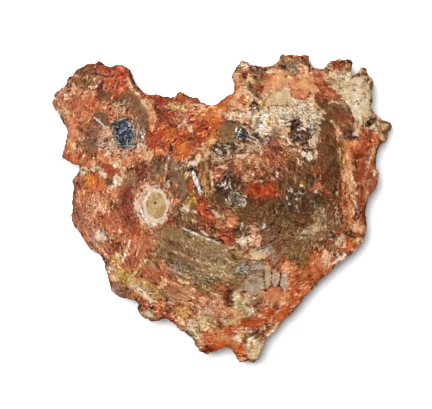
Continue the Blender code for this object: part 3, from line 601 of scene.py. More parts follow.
HEART = [
    ("rose/peach", 204, 154, 5, 5.5), ("umber/brown", 206, 163.5, 5, 5, EVEN),
    ("mauve/rose", 228, 166, 5, 5, EVEN), ("blush", 222, 167, 2.6, 1.9), ("tan/umber", 207, 181, 8, 12),
    ("amber/peach", 2.8, (203.5, 172), (204.5, 181), (206, 191)),
    ("peach/cream", 2, (211, 172), (212, 181), (212, 191)),
    ("dark", 1.2, (208, 173), (209, 182), (209, 191)), ("crimson/pink", 218, 175, 4.5, 7.5),
    ("pink", 1.8, (218, 175), (218, 182)), ("black/chocolate", 232, 178, 10, 6.5),
    ("chocolate/dark", 225, 190, 10, 8), ("dark", 218, 188, 4.5, 5),
    ("olive/dark", 235.5, 199, 6.5, 6.5, -20, EVEN), ("tan/sand", 246, 177, 4.6, 5.4),
    ("brown/umber", 247, 190, 6, 6), ("olive/umber", 216, 204, 9, 8.5, SMOOTH),
    ("brown/rose", 222, 211, 9, 5, 20), ("cream", 1.6, (208, 206), (211.5, 207.2)),
    ("peach", 227.5, 215.5, 1.7, 1.5), ("salmon/rose", 234, 219, 5, 6),
    ("flame/red", 14, (199, 198), (205, 212), (214, 226), (228, 240), {"taper": 0.3, "warp": 0.5}),
    ("flame", 206.5, 213, 3.6, 5.4), ("brick/maroon", 213, 230, 12, 10), ("tan/rose", 221, 226, 5, 4, 30),
    ("flame/red", 262, 190, 18, 8, 4, {"calm": 0.6, "size": 4, "warp": 0.5}),
    ("rose/maroon", 273, 170, 8, 12.5, {"size": 1.8}), ("brown/umber", 276, 190, 8, 7, EVEN),
    ("maroon/umber", 260, 203, 13, 3.6, 5, EVEN), ("umber/brown", 256, 215, 18, 10, 5, PLATE),
    ("maroon/dark", 287, 190, 4, 2.6, -30),
    ("white/ice", 1.9, (263, 222), (264.8, 224.5), (264, 228), (262, 230), (260.5, 232.5), CRISP),
    ("pink/umber", 256, 231, 6.5, 7), ("cream/ivory", 243.5, 240.5, 6, 4, -5),
    ("umber/dark", 239, 229.5, 4.4, 3), ("sand", 1.4, (240, 230), (242, 226), (243.5, 221.5)),
    ("chocolate/umber", 283, 208, 15, 15, PLATE), ("chocolate/olive", 297, 216, 16, 14, PLATE),
    ("umber/mauve", 287, 227, 8, 6, PLATE), ("umber/mauve", 276, 240, 16, 10.5, EVEN),
    ("khaki/mauve", 2, (262, 240), (272, 237), (284, 231), {"broken": 0.4}),
    ("mauve", 1.6, (266, 247), (278, 242), (290, 236)), ("ice/taupe", 276, 259, 4.5, 3.2, 10),
    ("dark/umber", 302, 202, 6, 7), ("khaki/umber", 284, 254, 6, 5, -20),
]

# White crystal veins over the heart, between the two hollows and about the middle one.
VEIN_WIDTH = 1.1
VEIN_LOOK = {"warp": 0.3, "rag": 0.25, "size": 2.2, "strength": 0.85}
VEINS = [
    ((230, 178.5), (230, 184), (231, 188), (233.5, 191.8), (236.5, 192.5)),
    ((230, 185), (227, 187), (223, 188.8)), ((226, 181), (224, 184), (220, 185.3), (216, 185)),
    ((236, 192.5), (239, 196), (242, 199.5)), ((228.5, 193.5), (229.5, 199), (231.5, 204.5)),
    ((232, 201), (235.5, 203.5)), ((240, 202.5), (243.5, 206.5)),
    ((243, 198.5), (245.2, 203), (244, 206.5)), ((242, 195.5), (246.5, 198)), ((226, 199), (227.5, 203)),
    ((248, 138), (255, 143), (262, 148.5)), ((262, 135), (264, 140), (266, 145)),
    ((235, 144), (243, 146), (249, 151)), ((251, 104), (255, 106), (253.5, 109.5), (257, 110)),
]

LEFT_FLANK = [
    ("rose/mauve", 8, (79, 176), (76, 192), (77, 212), (84, 232), (95, 248), PLATE),
    ("rose/mauve", 80, 181, 5, 7, EVEN), ("black", 1.4, (82.5, 182.5), (85, 181)),
    ("gold/amber", 87, 177, 3.6, 3.4), ("amber/orange", 93, 182, 8, 8, EVEN),
    ("flame/coral", 95, 179.5, 3.8, 7, EVEN), ("brown", 1.3, (99, 173), (97.8, 179.5), (99, 187)),
    ("cream/salmon", 104, 175.5, 5, 5), ("gold/amber", 78.5, 196, 6, 6.5, EVEN),
    ("dark", 72, 197, 1.2, 1.2), ("dark", 72.5, 206, 1.1, 1.1), ("flame/crimson", 88, 200, 5, 10.5, EVEN),
    ("maroon", 94.5, 195, 1.3, 1.3), ("coral/amber", 116, 195.5, 6.5, 8), ("pink/tan", 93, 207.5, 5.5, 8),
    ("blush", 109, 212, 1.6, 1.3), ("flame/coral", 103, 218, 5.8, 4.4), ("cream/ivory", 101, 236.5, 7, 5.8),
    ("umber/gold", 113.5, 237, 6.5, 3.8), ("tan/umber", 124.5, 237, 3, 2.4),
    ("salmon/coral", 115, 223, 7.5, 9, EVEN),
    ("crimson/mauve", 13, (132, 180), (127, 200), (128, 218), (134, 232), PLATE | {"strength": 0.8}),
    ("salmon/pink", 91, 243, 8, 6.6, 35), ("brown/amber", 117.5, 245, 7.5, 4.6),
    ("moss/taupe", 129.5, 180, 6, 10.5, EVEN), ("crimson/maroon", 142, 172, 9.5, 12.5),
    ("salmon", 1.2, (139, 165), (141, 169), (140, 173)), ("pink", 1.2, (145, 168), (147, 173)),
    ("red/flame", 109, 171, 5.6, 6.6), ("cream/ivory", 117, 163, 5, 3.6),
    ("ivory/cream", 117, 180, 5, 4.8, CRISP), ("blush", 1.3, (115, 188), (118, 185)),
    ("olive/moss", 79.5, 167, 3, 2.4), ("cream/sand", 83.5, 170.5, 5, 3.6),
    ("black/cream", 84, 170.5, 3.2, 2.2), ("black/cream", 93, 170, 3.8, 3),
    ("cream", 1.3, (88, 169), (97, 167), (104, 170)), ("orange/flame", 103, 186, 4, 4),
    ("umber/olive", 110, 182, 5, 5), ("peach/blush", 124, 172, 3, 4), ("brown/rose", 122, 198, 4, 8),
]

LOWER_LEFT = [
    ("peach/cream", 2.8, (130, 241), (127, 250), (123, 259), (119, 264)),
    ("rose/plum", 12, (143, 240), (137, 252), (131, 264), PLATE | {"taper": 0.3}),
    ("rose/salmon", 141, 252, 7, 9, 20, EVEN), ("flame/brick", 142.5, 235, 6.4, 5.4),
    ("gold/amber", 116, 257.5, 5, 8, 10), ("brick/brown", 115, 246.5, 8, 4, 20),
    ("rose/crimson", 104.5, 252.5, 8, 6, 25), ("mauve/grey", 104, 262, 5, 7, 30),
    ("taupe/cream", 111.5, 270.5, 7.5, 5, 20), ("sand/peach", 116.5, 278, 9, 4.6, 20),
    ("moss/gold", 125, 276, 7.5, 6.6, 25), ("rose/mauve", 120, 289, 12, 7.5, 25, PLATE),
    ("taupe/tan", 150, 266.5, 8.5, 4.6, 20, EVEN), ("rose/mauve", 151, 275, 12, 5.5, 22, PLATE),
    ("coral/brick", 155, 283.5, 5.5, 4, 20), ("sand/moss", 139, 286, 11.5, 6.5, 25),
    ("moss/gold", 154, 294, 6.4, 6.4, 20), ("taupe/umber", 165, 294.5, 4.4, 3.8, 20, EVEN),
    ("flame/brick", 7.5, (134, 294.5), (145, 302), (153, 308.5)), ("umber/dark", 139, 307, 3, 3.4),
    ("brown/dark", 153.5, 307.5, 4, 4.8), ("dark", 147.5, 253, 2.6, 3, FAINT),
    ("coral/flame", 160, 307, 5, 7), ("peach/sand", 162, 284, 4, 4), ("umber/maroon", 170, 298, 4, 3.4),
]

FIELD = [
    ("khaki/umber", 22, (164, 256), (190, 266), (230, 281), {"size": 1.8, "taper": 0.2, "warp": 0.4}),
    ("taupe/khaki", 24, (162, 238), (190, 248),
     (228, 263), {"size": 1.8, "taper": 0.2, "warp": 0.4, "calm": 0.6}),
    ("maroon/dark", 202, 234, 18, 3, 22), ("cream/peach", 3.2, (200.5, 230.8), (204, 233.2), (208, 234.7)),
    ("tan/khaki", 226, 262, 6, 10, 15), ("rose/tan", 156, 240, 6, 8, 10),
    ("salmon/peach", 161.5, 264.5, 4.4, 4), ("brown/dark", 2, (155, 262), (159, 268)),
    ("gold/cream", 184, 281.5, 4.6, 2.8, 15), ("rose/tan", 182.5, 292, 14, 7, 18, PLATE),
    ("rose/coral", 197, 302, 8.5, 8.5, 25), ("blush/sand", 2.4, (200, 298), (212, 300.5), (222, 306)),
    ("sand/moss", 2.4, (200, 290), (212, 296), (224, 300.5)), ("mauve/grey", 198.5, 308, 4, 8, -20),
    ("brick/maroon", 171.5, 308, 7, 6.6), ("gold/amber", 183.5, 313, 7, 7.2),
    ("brick/maroon", 230, 298, 7, 10.5, EVEN), ("cream/blush", 236, 296, 4.2, 4.4),
    ("coral/brick", 222, 286, 5, 5), ("khaki/taupe", 222, 250, 8, 6, 30, EVEN),
]

# The growth bands under the pale ledge, all parallel to it.
LEDGE = ((184, 230), (219, 245))
BANDS = [  # paints, mm below the ledge, width, and how far it runs past the ledge at either end
    ("taupe/khaki", 4, 7, 22, 8, {"calm": 0.5}), ("khaki/taupe", 10, 6, 22, 18, {"calm": 0.5}),
    ("umber/brown", 16.5, 5, 14, 4, {"calm": 0.4}), ("umber", 13.5, 1.2, 10, -4, {}),
    ("maroon/dark", 20, 1.6, -2, -6, {}), ("khaki/tan", 24, 6, 2, 26, {"size": 1.8}),
    ("tan/khaki", 28.5, 3, -14, 26, {"size": 1.8}), ("grey/olive", 33, 5, 6, -14, {"calm": 0.4}),
    ("umber/olive", 34, 4, -18, 6, {}), ("sand", 37, 1.2, -16, 8, {}), ("umber", 38.5, 1.4, -10, 10, {}),
    ("salmon/peach", 41.5, 2.6, 8, -12, {}), ("sand/moss", 43, 2.6, -18, 12, {}),
    ("umber", 45, 1.2, -6, 6, {}),
]
BAND_EDGE = {"warp": 0.25, "taper": 0.3}

LOWER_RIGHT = [
    ("blush/pink", 256, 241, 6.4, 5.4, -10), ("brown/tan", 234, 251.5, 6.8, 7),
    ("pink/umber", 246, 251, 4.6, 6.4), ("sand/cream", 259, 255, 9.4, 5.4, -5, EVEN),
    ("grey/ice", 258, 267.5, 6.4, 5.8, EVEN), ("grey/dark", 245, 270.5, 5.6, 4.8),
    ("white", 1.4, (252, 261), (256.5, 261.5)), ("tan/taupe", 254, 284, 12, 11.5, -5, PLATE),
    ("rose/brown", 243, 280.5, 3.2, 4.8), ("coral/salmon", 294, 280, 7, 11),
    ("peach/orange", 289, 267, 6.4, 5.4), ("salmon/pink", 272, 295, 9.5, 8, PLATE),
    ("peach/orange", 285, 296, 5.4, 6.4), ("flame/orange", 299, 292, 9.4, 4.4, -25),
    ("flame/red", 277, 311, 12, 5.4, -12, EVEN), ("maroon/umber", 256, 302, 6.4, 6.4),
    ("taupe/sand", 245, 307, 7.4, 7.4, -10), ("cream/ivory", 251, 311.5, 3.4, 2.8),
    ("gold/cream", 235, 308.5, 3.6, 5.8), ("brick/flame", 252.5, 322, 13.5, 6, -5, PLATE),
    ("flame", 263, 322, 5.2, 4.2, {"calm": 0.6, "strength": 0.7}),
    ("cream", 1.5, (257.5, 318.5), (261.5, 317.5)), ("dark/umber", 267.5, 326, 3, 4.4),
    ("cream/peach", 3, (268, 336), (274, 329), (279, 322)), ("coral/orange", 280.5, 320, 4.8, 8.4, -15),
    ("flame", 2.6, (288, 310), (294, 304), (300, 298)), ("umber/olive", 299.5, 260, 8, 8),
    ("brown/moss", 305, 265, 5.4, 10.5), ("rose/brown", 302.5, 278, 8, 8, -20),
    ("salmon", 1.2, (299, 280), (305, 276), (309, 272)), ("coral/maroon", 262, 312, 5, 4),
    ("salmon/peach", 305, 286, 5, 4, -20),
]

BOTTOM = [
    ("cream/peach", 181, 320.5, 4, 3.4), ("cream/ivory", 191, 328, 5.8, 6.4, -10),
    ("rose/brown", 187, 332, 3.4, 3.2), ("cream/sand", 196, 339, 4.8, 9.2, -10),
    ("dark", 1.4, (194, 338), (197, 344), (199.5, 350)), ("dark", 1.3, (186, 327), (190, 334), (193, 341)),
    ("sand/khaki", 207.5, 321.5, 8.6, 6.6, 20, EVEN), ("sand/amber", 211.5, 328.5, 13.5, 3.8, 5),
    ("orange/salmon", 207.5, 338.5, 9.6, 7.6, EVEN), ("red/maroon", 208.5, 349, 7.2, 4.6),
    ("orange/peach", 226, 340, 6.6, 5.4), ("flame/coral", 219, 346, 4.6, 5.6),
    ("brick/umber", 3, (225, 347.5), (233, 345.8), (240.5, 349)), ("brick/brown", 245.5, 341, 3.4, 5.6),
    ("pink/rose", 215, 310, 16, 8.6, 30), ("taupe/rose", 220, 322, 5.8, 6.4),
    ("gold/sand", 232, 323, 4.4, 4), ("rose/coral", 228, 315, 3.8, 3.4),
    ("dark/brick", 253.5, 334, 9.4, 4.4, -10), ("moss/umber", 256, 338, 6.6, 3.2),
    ("cream/sand", 254, 349.5, 8.8, 11.5, 10, EVEN), ("coral/tan", 239, 355, 6.6, 6.8),
    ("gold/umber", 255, 360.5, 3.6, 2.8), ("cream", 2, (262, 342), (264, 345.5), (264.5, 349)),
    ("maroon", 1.3, (201, 353), (207, 354), (213, 352)), ("coral/flame", 230, 331, 7, 4),
    ("salmon/peach", 243, 331, 4, 4),
]

BEFORE_RING = [
    ("umber/grey", 157, 169, 8, 9.6), ("maroon/crimson", 164, 160.5, 4.6, 4.2),
    ("mauve/dark", 168.5, 178, 7.2, 3), ("umber/brown", 185, 182, 5.6, 18),
    ("flame/brown", 191.5, 188, 4.6, 8), ("gold/moss", 192, 201.5, 4.6, 7),
    ("sand/dark", 167.5, 183.5, 3.2, 4), ("mauve/umber", 177, 188, 5.4, 8, 20),
    ("umber/dark", 181, 216.5, 9.6, 12), ("moss/umber", 184, 220, 6.4, 5.4),
    ("grey/sand", 184.5, 208, 4, 5.6, -30), ("ivory/grey", 2.4, (182.5, 204.5), (185, 208), (187.5, 211.5)),
    ("peach", 177, 200, 2.6, 2.2), ("cream", 1.6, (192, 219), (194, 222), (197, 221)),
    ("blush", 1.3, (192, 210.5), (194, 212), (196, 211)), ("dark/black", 192.5, 169.5, 3.8, 2.4),
    ("peach/sand", 186, 175, 2.2, 3.6), ("cream/ivory", 195, 163, 4, 3.4), ("cream", 199, 157, 2.6, 3, 20),
    ("blush", 1.6, (187, 157.5), (187, 163.5)), ("dark", 1.3, (196.5, 170.5), (199.5, 181), (202.5, 191.5)),
    ("tan/grey", 157, 180, 6, 5, FAINT), ("mauve/umber", 177, 209, 4, 5),
]

RING = [
    ("peach/brown", 4, (137, 190.5), (142, 186), (148, 184), (155, 183), (161, 181.5)),
    ("peach/rose", 2.6, (169, 190), (172, 200), (171, 211)),
    ("gold/tan", 3.4, (139, 221), (145, 227), (150, 230.5)),
    ("rose/tan", 153.5, 206, 18.6, 21.6, {"warp": 0.5, "size": 2, "rag": 0.4}),
    ("shell/blush", 153, 206, 16.4, 19.4, {"calm": 0.9, "size": 5, "warp": 0.4, "rag": 0.1, "soft": 0.12}),
    ("shell/rose", 3.4, (148, 190), (141.5, 196), (139.6, 206), (142, 216),
     (148, 223), {"strength": 0.5, "calm": 0.9, "size": 5}),
    ("cream/shell", 156, 206, 13.2, 17, {"calm": 0.9, "warp": 0.6, "soft": 0.15, "rag": 0.15}),
    ("mauve", 1, (149, 190), (143.6, 196), (142, 206), (145, 217), (151, 223), {"strength": 0.8}),
    ("dark", 1.3, (152, 232), (160, 228.5), (167.5, 225)),
    ("taupe", 1, (150, 188.5), (158, 187.6), (165, 191)),
    ("rose", 1.1, (169.4, 197), (169.6, 206), (167, 216)),
    ("tan/sand", 156, 205.5, 10.8, 14.2,
     {"calm": 0.9, "size": 5, "warp": 0.2, "soft": 0.2, "rag": 0.1}),
]
RING_CENTRE, RING_SQUASH, RING_REACH = (156, 205.5), 0.76, 24
RING_WOBBLE, RING_WOBBLE_SIZE, RING_SEED = 0.5, 7, 33  # mm that the rings wander, in lumps of so many mm
RING_CREST = 0.2  # the share of a ring's width that has its full strength
RING_BANDS = [  # radius down the sheet, width, paint and strength
    (14.6, 1.1, "ivory", 0.9), (10.6, 1.2, "umber", 0.2), (9.0, 1.2, "sand", 0.25),
    (7.2, 1.0, "umber", 0.2), (5.4, 1.2, "sand", 0.25), (3.6, 1.0, "umber", 0.2),
]
RING_PITH = ("dark", 155, 202.7, 0.9, 0.9)

SPECK_STRENGTH = 0.8
SPECKS = [  # paint, middle, radii, turn, grain size and share
    ("brown", 300, 112, 40, 9, 5, 2.0, 0.30), ("umber", 292, 120, 14, 7, -30, 1.9, 0.25),
    ("brown", 238, 115, 18, 4, 0, 1.9, 0.35), ("umber", 294, 67, 8, 8, 0, 1.8, 0.35),
    ("dark", 62, 96, 9, 9, 0, 2.0, 0.25), ("mauve", 62, 107, 8, 8, 0, 2.0, 0.25),
    ("umber", 186, 246, 36, 16, 18, 1.9, 0.30), ("sand", 205, 250, 22, 18, 18, 1.8, 0.22),
    ("umber", 210, 277, 20, 14, 18, 1.9, 0.32), ("cream", 212, 270, 18, 12, 18, 1.8, 0.24),
    ("umber", 253, 282, 11, 12, 0, 1.9, 0.32), ("maroon", 273, 158, 11, 18, 0, 1.9, 0.14),
    ("cream", 245, 160, 16, 8, 0, 1.9, 0.22), ("umber", 315, 124, 12, 8, 0, 1.9, 0.2),
    ("cream", 298, 145, 13, 12, 0, 1.9, 0.20), ("black", 225, 185, 20, 10, 0, 1.9, 0.30),
    ("brown", 338, 84, 10, 12, 0, 1.9, 0.28), ("orange", 168, 117, 13, 10, 0, 2.2, 0.25),
    ("peach", 347, 175, 6, 22, 0, 1.9, 0.25), ("maroon", 345, 216, 6, 14, 0, 1.9, 0.28),
    ("black", 184, 313, 7, 8, 0, 1.9, 0.28), ("umber", 252, 307, 14, 9, 0, 1.9, 0.30),
    ("dark", 115, 240, 12, 7, 0, 1.9, 0.25), ("cream", 92, 212, 10, 22, 0, 1.9, 0.18),
    ("maroon", 120, 205, 12, 20, 0, 1.9, 0.30), ("tan", 277, 220, 26, 14, 0, 1.8, 0.10),
    ("sand", 318, 220, 9, 16, 0, 1.9, 0.18), ("dark", 325, 200, 14, 14, 0, 1.9, 0.24),
    ("umber", 118, 150, 14, 9, 0, 1.9, 0.20), ("dark", 160, 104, 22, 9, 0, 1.9, 0.20),
    ("umber", 213, 318, 20, 12, 25, 1.9, 0.18), ("maroon", 143, 172, 12, 14, 0, 1.9, 0.22),
    ("peach", 150, 296, 24, 14, 25, 2.0, 0.18),
]

# Thin washes over the finished marks, that draw each part of the face together.
WASH = {"strength": 0.45, "calm": 0.5, "size": 5}
GLAZES = [
    ("rose/salmon", 9, (80, 178), (76, 195), (76, 214), (84, 232), (98, 250)),
    ("amber/orange", 8, (83, 196), (88, 186), (95, 178)), ("salmon/pink", 106, 200, 10, 12),
    ("coral/salmon", 88, 210, 6, 11), ("crimson/plum", 14, (129, 178), (126, 200), (128, 224)),
    ("salmon/rose", 108, 226, 13, 8, 20), ("plum/rose", 130, 258, 6, 11, 20),
    ("rose/salmon", 142, 246, 9, 13, 15), ("plum/rose", 152, 276, 13, 7, 22),
    ("cream/sand", 10, (128, 281), (141, 290), (154, 301)), ("plum/mauve", 119, 290, 12, 7, 25),
    ("sand/gold", 147, 286, 12, 4, 25), ("rose/tan", 181, 294, 16, 8, 18), ("brick/maroon", 172, 308, 9, 6),
    ("rose/salmon", 212, 308, 15, 8, 25), ("rose/tan", 62, 99, 9, 15), ("coral/salmon", 88, 104, 13, 10),
    ("flame/red", 114, 80, 13, 10), ("mauve/umber", 92, 140, 9, 15), ("salmon/pink", 73, 132, 6, 14),
    ("coral/rose", 76, 158, 12, 7, 10), ("brick/umber", 84, 74, 16, 9, -25),
    ("orange/coral", 16, (196, 116), (210, 110), (224, 102), (232, 90)),
    ("flame/red", 155, 132, 12, 16, 20), ("flame/red", 165, 104, 18, 7), ("flame/coral", 208, 130, 9, 10),
    ("orange/flame", 182, 145, 14, 14), ("chocolate/olive", 288, 208, 20, 22),
    ("olive/umber", 252, 214, 16, 8, 5), ("brick/coral", 250, 168, 24, 10, 5),
    ("coral/rose", 268, 156, 14, 14), ("cream/ivory", 254, 348, 9, 12), ("flame/orange", 222, 340, 24, 8),
    ("flame/orange", 278, 309, 16, 7, -20), ("coral/orange", 312, 268, 10, 16, 40),
    ("umber/khaki", 296, 246, 26, 12, -20), ("khaki/taupe", 318, 228, 9, 16),
    ("cream/sand", 246, 300, 12, 8), ("ivory/cream", 357, 100, 10, 20, -12),
    ("cream/ivory", 290, 112, 26, 6), ("ivory/cream", 262, 124, 9, 8), ("brick/flame", 345, 205, 8, 20),
    ("rose/plum", 362, 215, 8, 16), ("umber/brown", 332, 205, 8, 16), ("crimson/coral", 365, 150, 9, 8),
    ("cream/sand", 192, 330, 7, 10, -15), ("flame/coral", 252, 322, 13, 6, -5),
]

# The clearer marks of each part, over the washes.
FINE_WORK = [
    # the left lobe
    ("umber/olive", 103.5, 96.5, 7, 5.6, PLATE),
    ("umber/mauve", 12, (121, 95), (132, 100), (141, 112), (143, 128),
     (140, 142), PLATE | {"strength": 0.75}),
    ("peach/cream", 5.5, (142, 101), (151, 109), (154, 118), (151, 131), PLATE),
    ("moss/olive", 84, 83, 9, 5, -25, {"strength": 0.7}),
    ("blush/cream", 1.8, (90, 89), (95, 86.5), (100, 83), CRISP), ("flame/red", 120, 74, 9, 5, 20),
    ("red/flame", 8, (104, 82), (114, 84), (126, 88), {"strength": 0.8}),
    ("umber/mauve", 92, 143, 7, 13, 10, PLATE | {"strength": 0.6}), ("rose/tan", 58, 104, 5, 8, EVEN),
    ("gold", 70, 112.5, 1.6, 1.2), ("salmon/rose", 80, 106, 5, 7, 10, EVEN),
    # the top middle, and the wedge under it
    ("umber/grey", 12, (171, 158), (177, 176), (183, 194), PLATE | {"strength": 0.8}),
    ("taupe/blush", 1.8, (170, 157), (166.5, 165), (165, 173)),
    ("cream/gold", 5, (170, 104), (178, 107), (186, 110)), ("red/maroon", 160, 112, 8, 6),
    ("flame/orange", 163, 133, 9, 8, -30), ("amber/peach", 205, 108, 10, 5, -20),
    ("red/flame", 203, 127, 8, 7), ("orange/amber", 180, 148, 5, 9, 20), ("maroon/red", 192, 140, 6, 6),
    # the right lobe
    ("grey/taupe", 292, 66, 7.5, 7.5, {"calm": 0.5, "size": 1.8}),
    ("peach/pink", 281, 80, 12, 7, -10, EVEN), ("peach/salmon", 304, 84, 12, 8, PLATE),
    ("coral/salmon", 3.4, (291, 90), (297, 97), (305, 99), (311, 94), EVEN),
    ("sand/cream", 279, 98, 13, 7, -10, PLATE), ("moss/gold", 1.6, (245, 97), (250, 104), (255, 110)),
    ("moss/gold", 1.6, (271, 92), (266, 100), (260, 108)),
    ("umber", 1, (263, 105), (285, 105.5), (308, 106), {"broken": 0.45}),
    ("brick/red", 260, 88, 3.4, 3.4, CRISP), ("ivory/cream", 273, 112, 7, 5, {"calm": 0.5}),
    # The maroon and dark oval at (296, 124) darkens the same hollow: partly its own colour, partly painted
    # shade.
    ("ivory/grey", 260, 123, 5, 7), ("maroon/dark", 296, 124, 6, 6),
    ("dark/mauve", 301, 137, 10, 5, 10, EVEN), ("grey/dark", 312, 130, 5, 10, EVEN),
    ("ivory/grey", 1.4, (312, 122), (313, 131), (315, 142)),
    # the chestnut column, the brown heart and the red right flank
    ("brick/umber", 13, (325, 128), (327, 150), (326, 178), PLATE | {"strength": 0.55}),
    ("brick/mauve", 342, 116, 9, 16, PLATE | {"strength": 0.6}),
    ("brick/umber", 302, 228, 20, 9, -15, {"strength": 0.3, "calm": 0.5}),
    ("dark/umber", 289, 214, 17, 13, {"strength": 0.45, "calm": 0.6}),
    ("olive/brown", 262, 214, 14, 7, {"strength": 0.5, "calm": 0.5}),
    ("rose/taupe", 318, 226, 7, 12, 20, {"strength": 0.5, "calm": 0.5}),
    ("coral/salmon", 9, (344, 186), (347, 200), (350, 222), {"calm": 0.5}),
    ("peach/blush", 5, (345, 170), (349, 181), (351, 190), EVEN),
    ("cream", 1.2, (350, 190), (353, 198), (357, 208)), ("cream/ivory", 1.2, (352, 194), (355, 203)),
    ("dark", 1.4, (355, 208), (356, 217)), ("brick/crimson", 6, (362, 188), (363, 202), (364, 218), EVEN),
    ("dark/olive", 350, 234, 5, 4), ("flame/orange", 346, 246, 7, 4, -25),
    ("cream/gold", 356, 240, 4, 2.4, -20), ("coral/pink", 317, 261, 7, 8, EVEN),
    ("blush/peach", 326, 256, 4, 5), ("cream/ivory", 2.2, (330, 266), (338, 261), (346, 256)),
    ("taupe/grey", 5, (316, 204), (321, 214), (326, 224), {"calm": 0.5}),
    ("khaki/sand", 8, (300, 238), (308, 232), (318, 226), EVEN),
    ("salmon/coral", 2.6, (320, 174), (321, 182), (323, 192)), ("blush", 316, 192, 1.2, 1.2, CRISP),
    ("dark/olive", 311, 182, 4, 6, EVEN), ("dark/olive", 320, 200, 4, 4, EVEN),
    # below the plates
    ("grey/sand", 254, 284, 10.5, 9.5, PLATE),
    ("blush/sand", 2.6, (245, 293.5), (255, 294), (264, 292), PLATE),
    ("blush/sand", 277, 278, 2.8, 7, PLATE), ("salmon/pink", 273, 293, 8, 6, PLATE),
    ("flame/orange", 4.4, (310, 290), (297, 297), (285, 303), (270, 312), {"calm": 0.6, "warp": 0.5}),
    ("ivory/cream", 3.6, (281, 325), (272, 334), (262, 343)),
    ("cream/ivory", 253, 347, 7, 9, 10, {"size": 4}), ("gold/sand", 252, 346, 4, 3, EVEN),
    ("brown/umber", 255.5, 360.5, 2.4, 1.8), ("orange/coral", 238, 352, 5, 7, -20),
    # the left flank and the lower left
    ("salmon/plum", 7, (78, 178), (75, 194), (77, 212), (85, 230), (98, 246), PLATE | {"strength": 0.5}),
    ("crimson/plum", 9, (134, 182), (130, 196), (130, 212), EVEN),
    ("plum/rose", 4, (78, 196), (83, 216), (94, 234), (110, 250), EVEN),
    ("pink", 1.5, (75, 206), (80, 222), (91, 239), (105, 253), (119, 267)),
    ("crimson", 2.2, (87, 206), (93, 221), (103, 233), (117, 246)),
    ("blush", 1.2, (81, 226), (91, 241), (104, 252)),
    ("maroon", 1.2, (73.5, 196), (77, 215), (87, 234), (99, 248)),
    ("crimson/maroon", 3, (131, 186), (124, 198), (126, 212), (133, 226)),
    ("rose/pink", 3, (119, 212), (117, 226), (121, 240), (127, 252)), ("pink/blush", 100, 208, 5, 4, 20),
    ("flame/red", 101, 220, 5, 3), ("salmon/pink", 110, 197, 8, 7, EVEN),
    ("umber/olive", 114, 205, 6, 3, 20), ("blush/pink", 112, 188, 3, 3),
    ("moss/khaki", 130, 178, 5, 7, EVEN),
    ("rose/salmon", 11, (145, 238), (139, 250), (133, 263), PLATE | {"strength": 0.7}),
    ("rose/plum", 149, 272, 11, 5, 24, PLATE), ("plum/mauve", 118, 290, 10, 5.5, 25, PLATE),
    ("cream/ivory", 5, (131, 284), (141, 292), (152, 303), PLATE | {"warp": 0.6}),
    ("moss/gold", 5, (142, 279), (151, 286), (160, 295), EVEN), ("taupe/cream", 149, 314, 8, 4, 10, EVEN),
    ("rose/tan", 182, 292, 12, 6, 20, PLATE),
    ("ivory/cream", 1.9, (182, 228), (190, 231), (197, 234.5), (205, 238), (212, 241), (219, 244), CRISP),
    ("white/ivory", 4.2, (193, 171.5), (195.5, 180), (198, 188), (200.5, 194), CRISP),
    ("dark", 1.2, (190, 171.5), (193.2, 182), (197.5, 193.5)), ("cream/ivory", 100, 237, 5, 4),
    ("ivory/cream", 117.5, 181, 5, 4, 20, CRISP), ("ivory/cream", 104, 175, 3, 3),
    ("black/cream", 83, 170.5, 2, 1.6, CRISP), ("black/cream", 88.5, 169.6, 2, 1.6, CRISP),
    ("black/cream", 94, 170, 2.4, 1.8, CRISP), ("cream", 83, 170.5, 1, 0.8, CRISP),
    ("cream", 94, 170, 1.1, 0.9, CRISP), ("gold/cream", 118, 258, 3, 8, 10),
    ("gold/moss", 2.2, (148, 260), (139, 267), (133, 275), (126, 280)),
    ("flame/brick", 5, (134, 294), (140, 298), (147, 303)),
    ("black", 1.1, (160, 292), (164, 296), (160, 300)), ("gold/amber", 182, 313, 5, 5),
    ("dark", 172, 306, 3, 3, FAINT), ("cream/gold", 205, 322, 7, 5, 20),
    # The black oval at (94, 155.5) lies in a small pit: partly its own dark colour, partly painted shade of
    # the pit.
    ("blush/ivory", 236.7, 338.5, 4, 3), ("black", 94, 155.5, 1.8, 1.5, CRISP),
    ("dark/umber", 98, 119, 5, 4, 10), ("dark", 154, 106, 4, 1.8, 10), ("dark", 170.5, 151, 2, 5, 10),
    ("maroon", 163, 143, 2.4, 2.8), ("blush/cream", 190, 129, 2.2, 3, -20),
    ("ice/cream", 270, 250.5, 5.2, 4.2, {"warp": 0.5, "rag": 0.4}), ("taupe/grey", 270, 250.5, 2.6, 2),
    ("cream/ivory", 243, 241, 6, 4, -5), ("blush/pink", 254, 241, 5, 3.6),
    ("salmon/pink", 230.5, 221, 5, 5), ("cream/peach", 4, (213, 211), (218, 215.5), (224, 219)),
    ("red/flame", 262, 190, 17, 7, 4, {"calm": 0.5, "warp": 0.6}),
    ("orange", 1.4, (262, 192), (272, 194.5), (282, 195), {"broken": 0.4}),
    ("blush/cream", 1.4, (252, 183), (259, 181), (266, 180.5), {"broken": 0.35}),
    ("blush/cream", 277.5, 175, 1.8, 3, 10), ("gold", 301, 185, 1.4, 1.4),
    ("umber", 1, (243, 277), (252, 275), (262, 277)),
    ("flame/orange", 2.6, (264, 306), (274, 308), (286, 303), (297, 297)), ("peach/orange", 287, 268, 5, 4),
    ("grey/ice", 242, 270, 5, 4), ("grey/ice", 257, 265, 5.5, 4, EVEN), ("coral/peach", 317, 260, 6, 7, 30),
    ("dark", 1.1, (318, 208), (322, 222), (324, 236), {"broken": 0.4}),
]

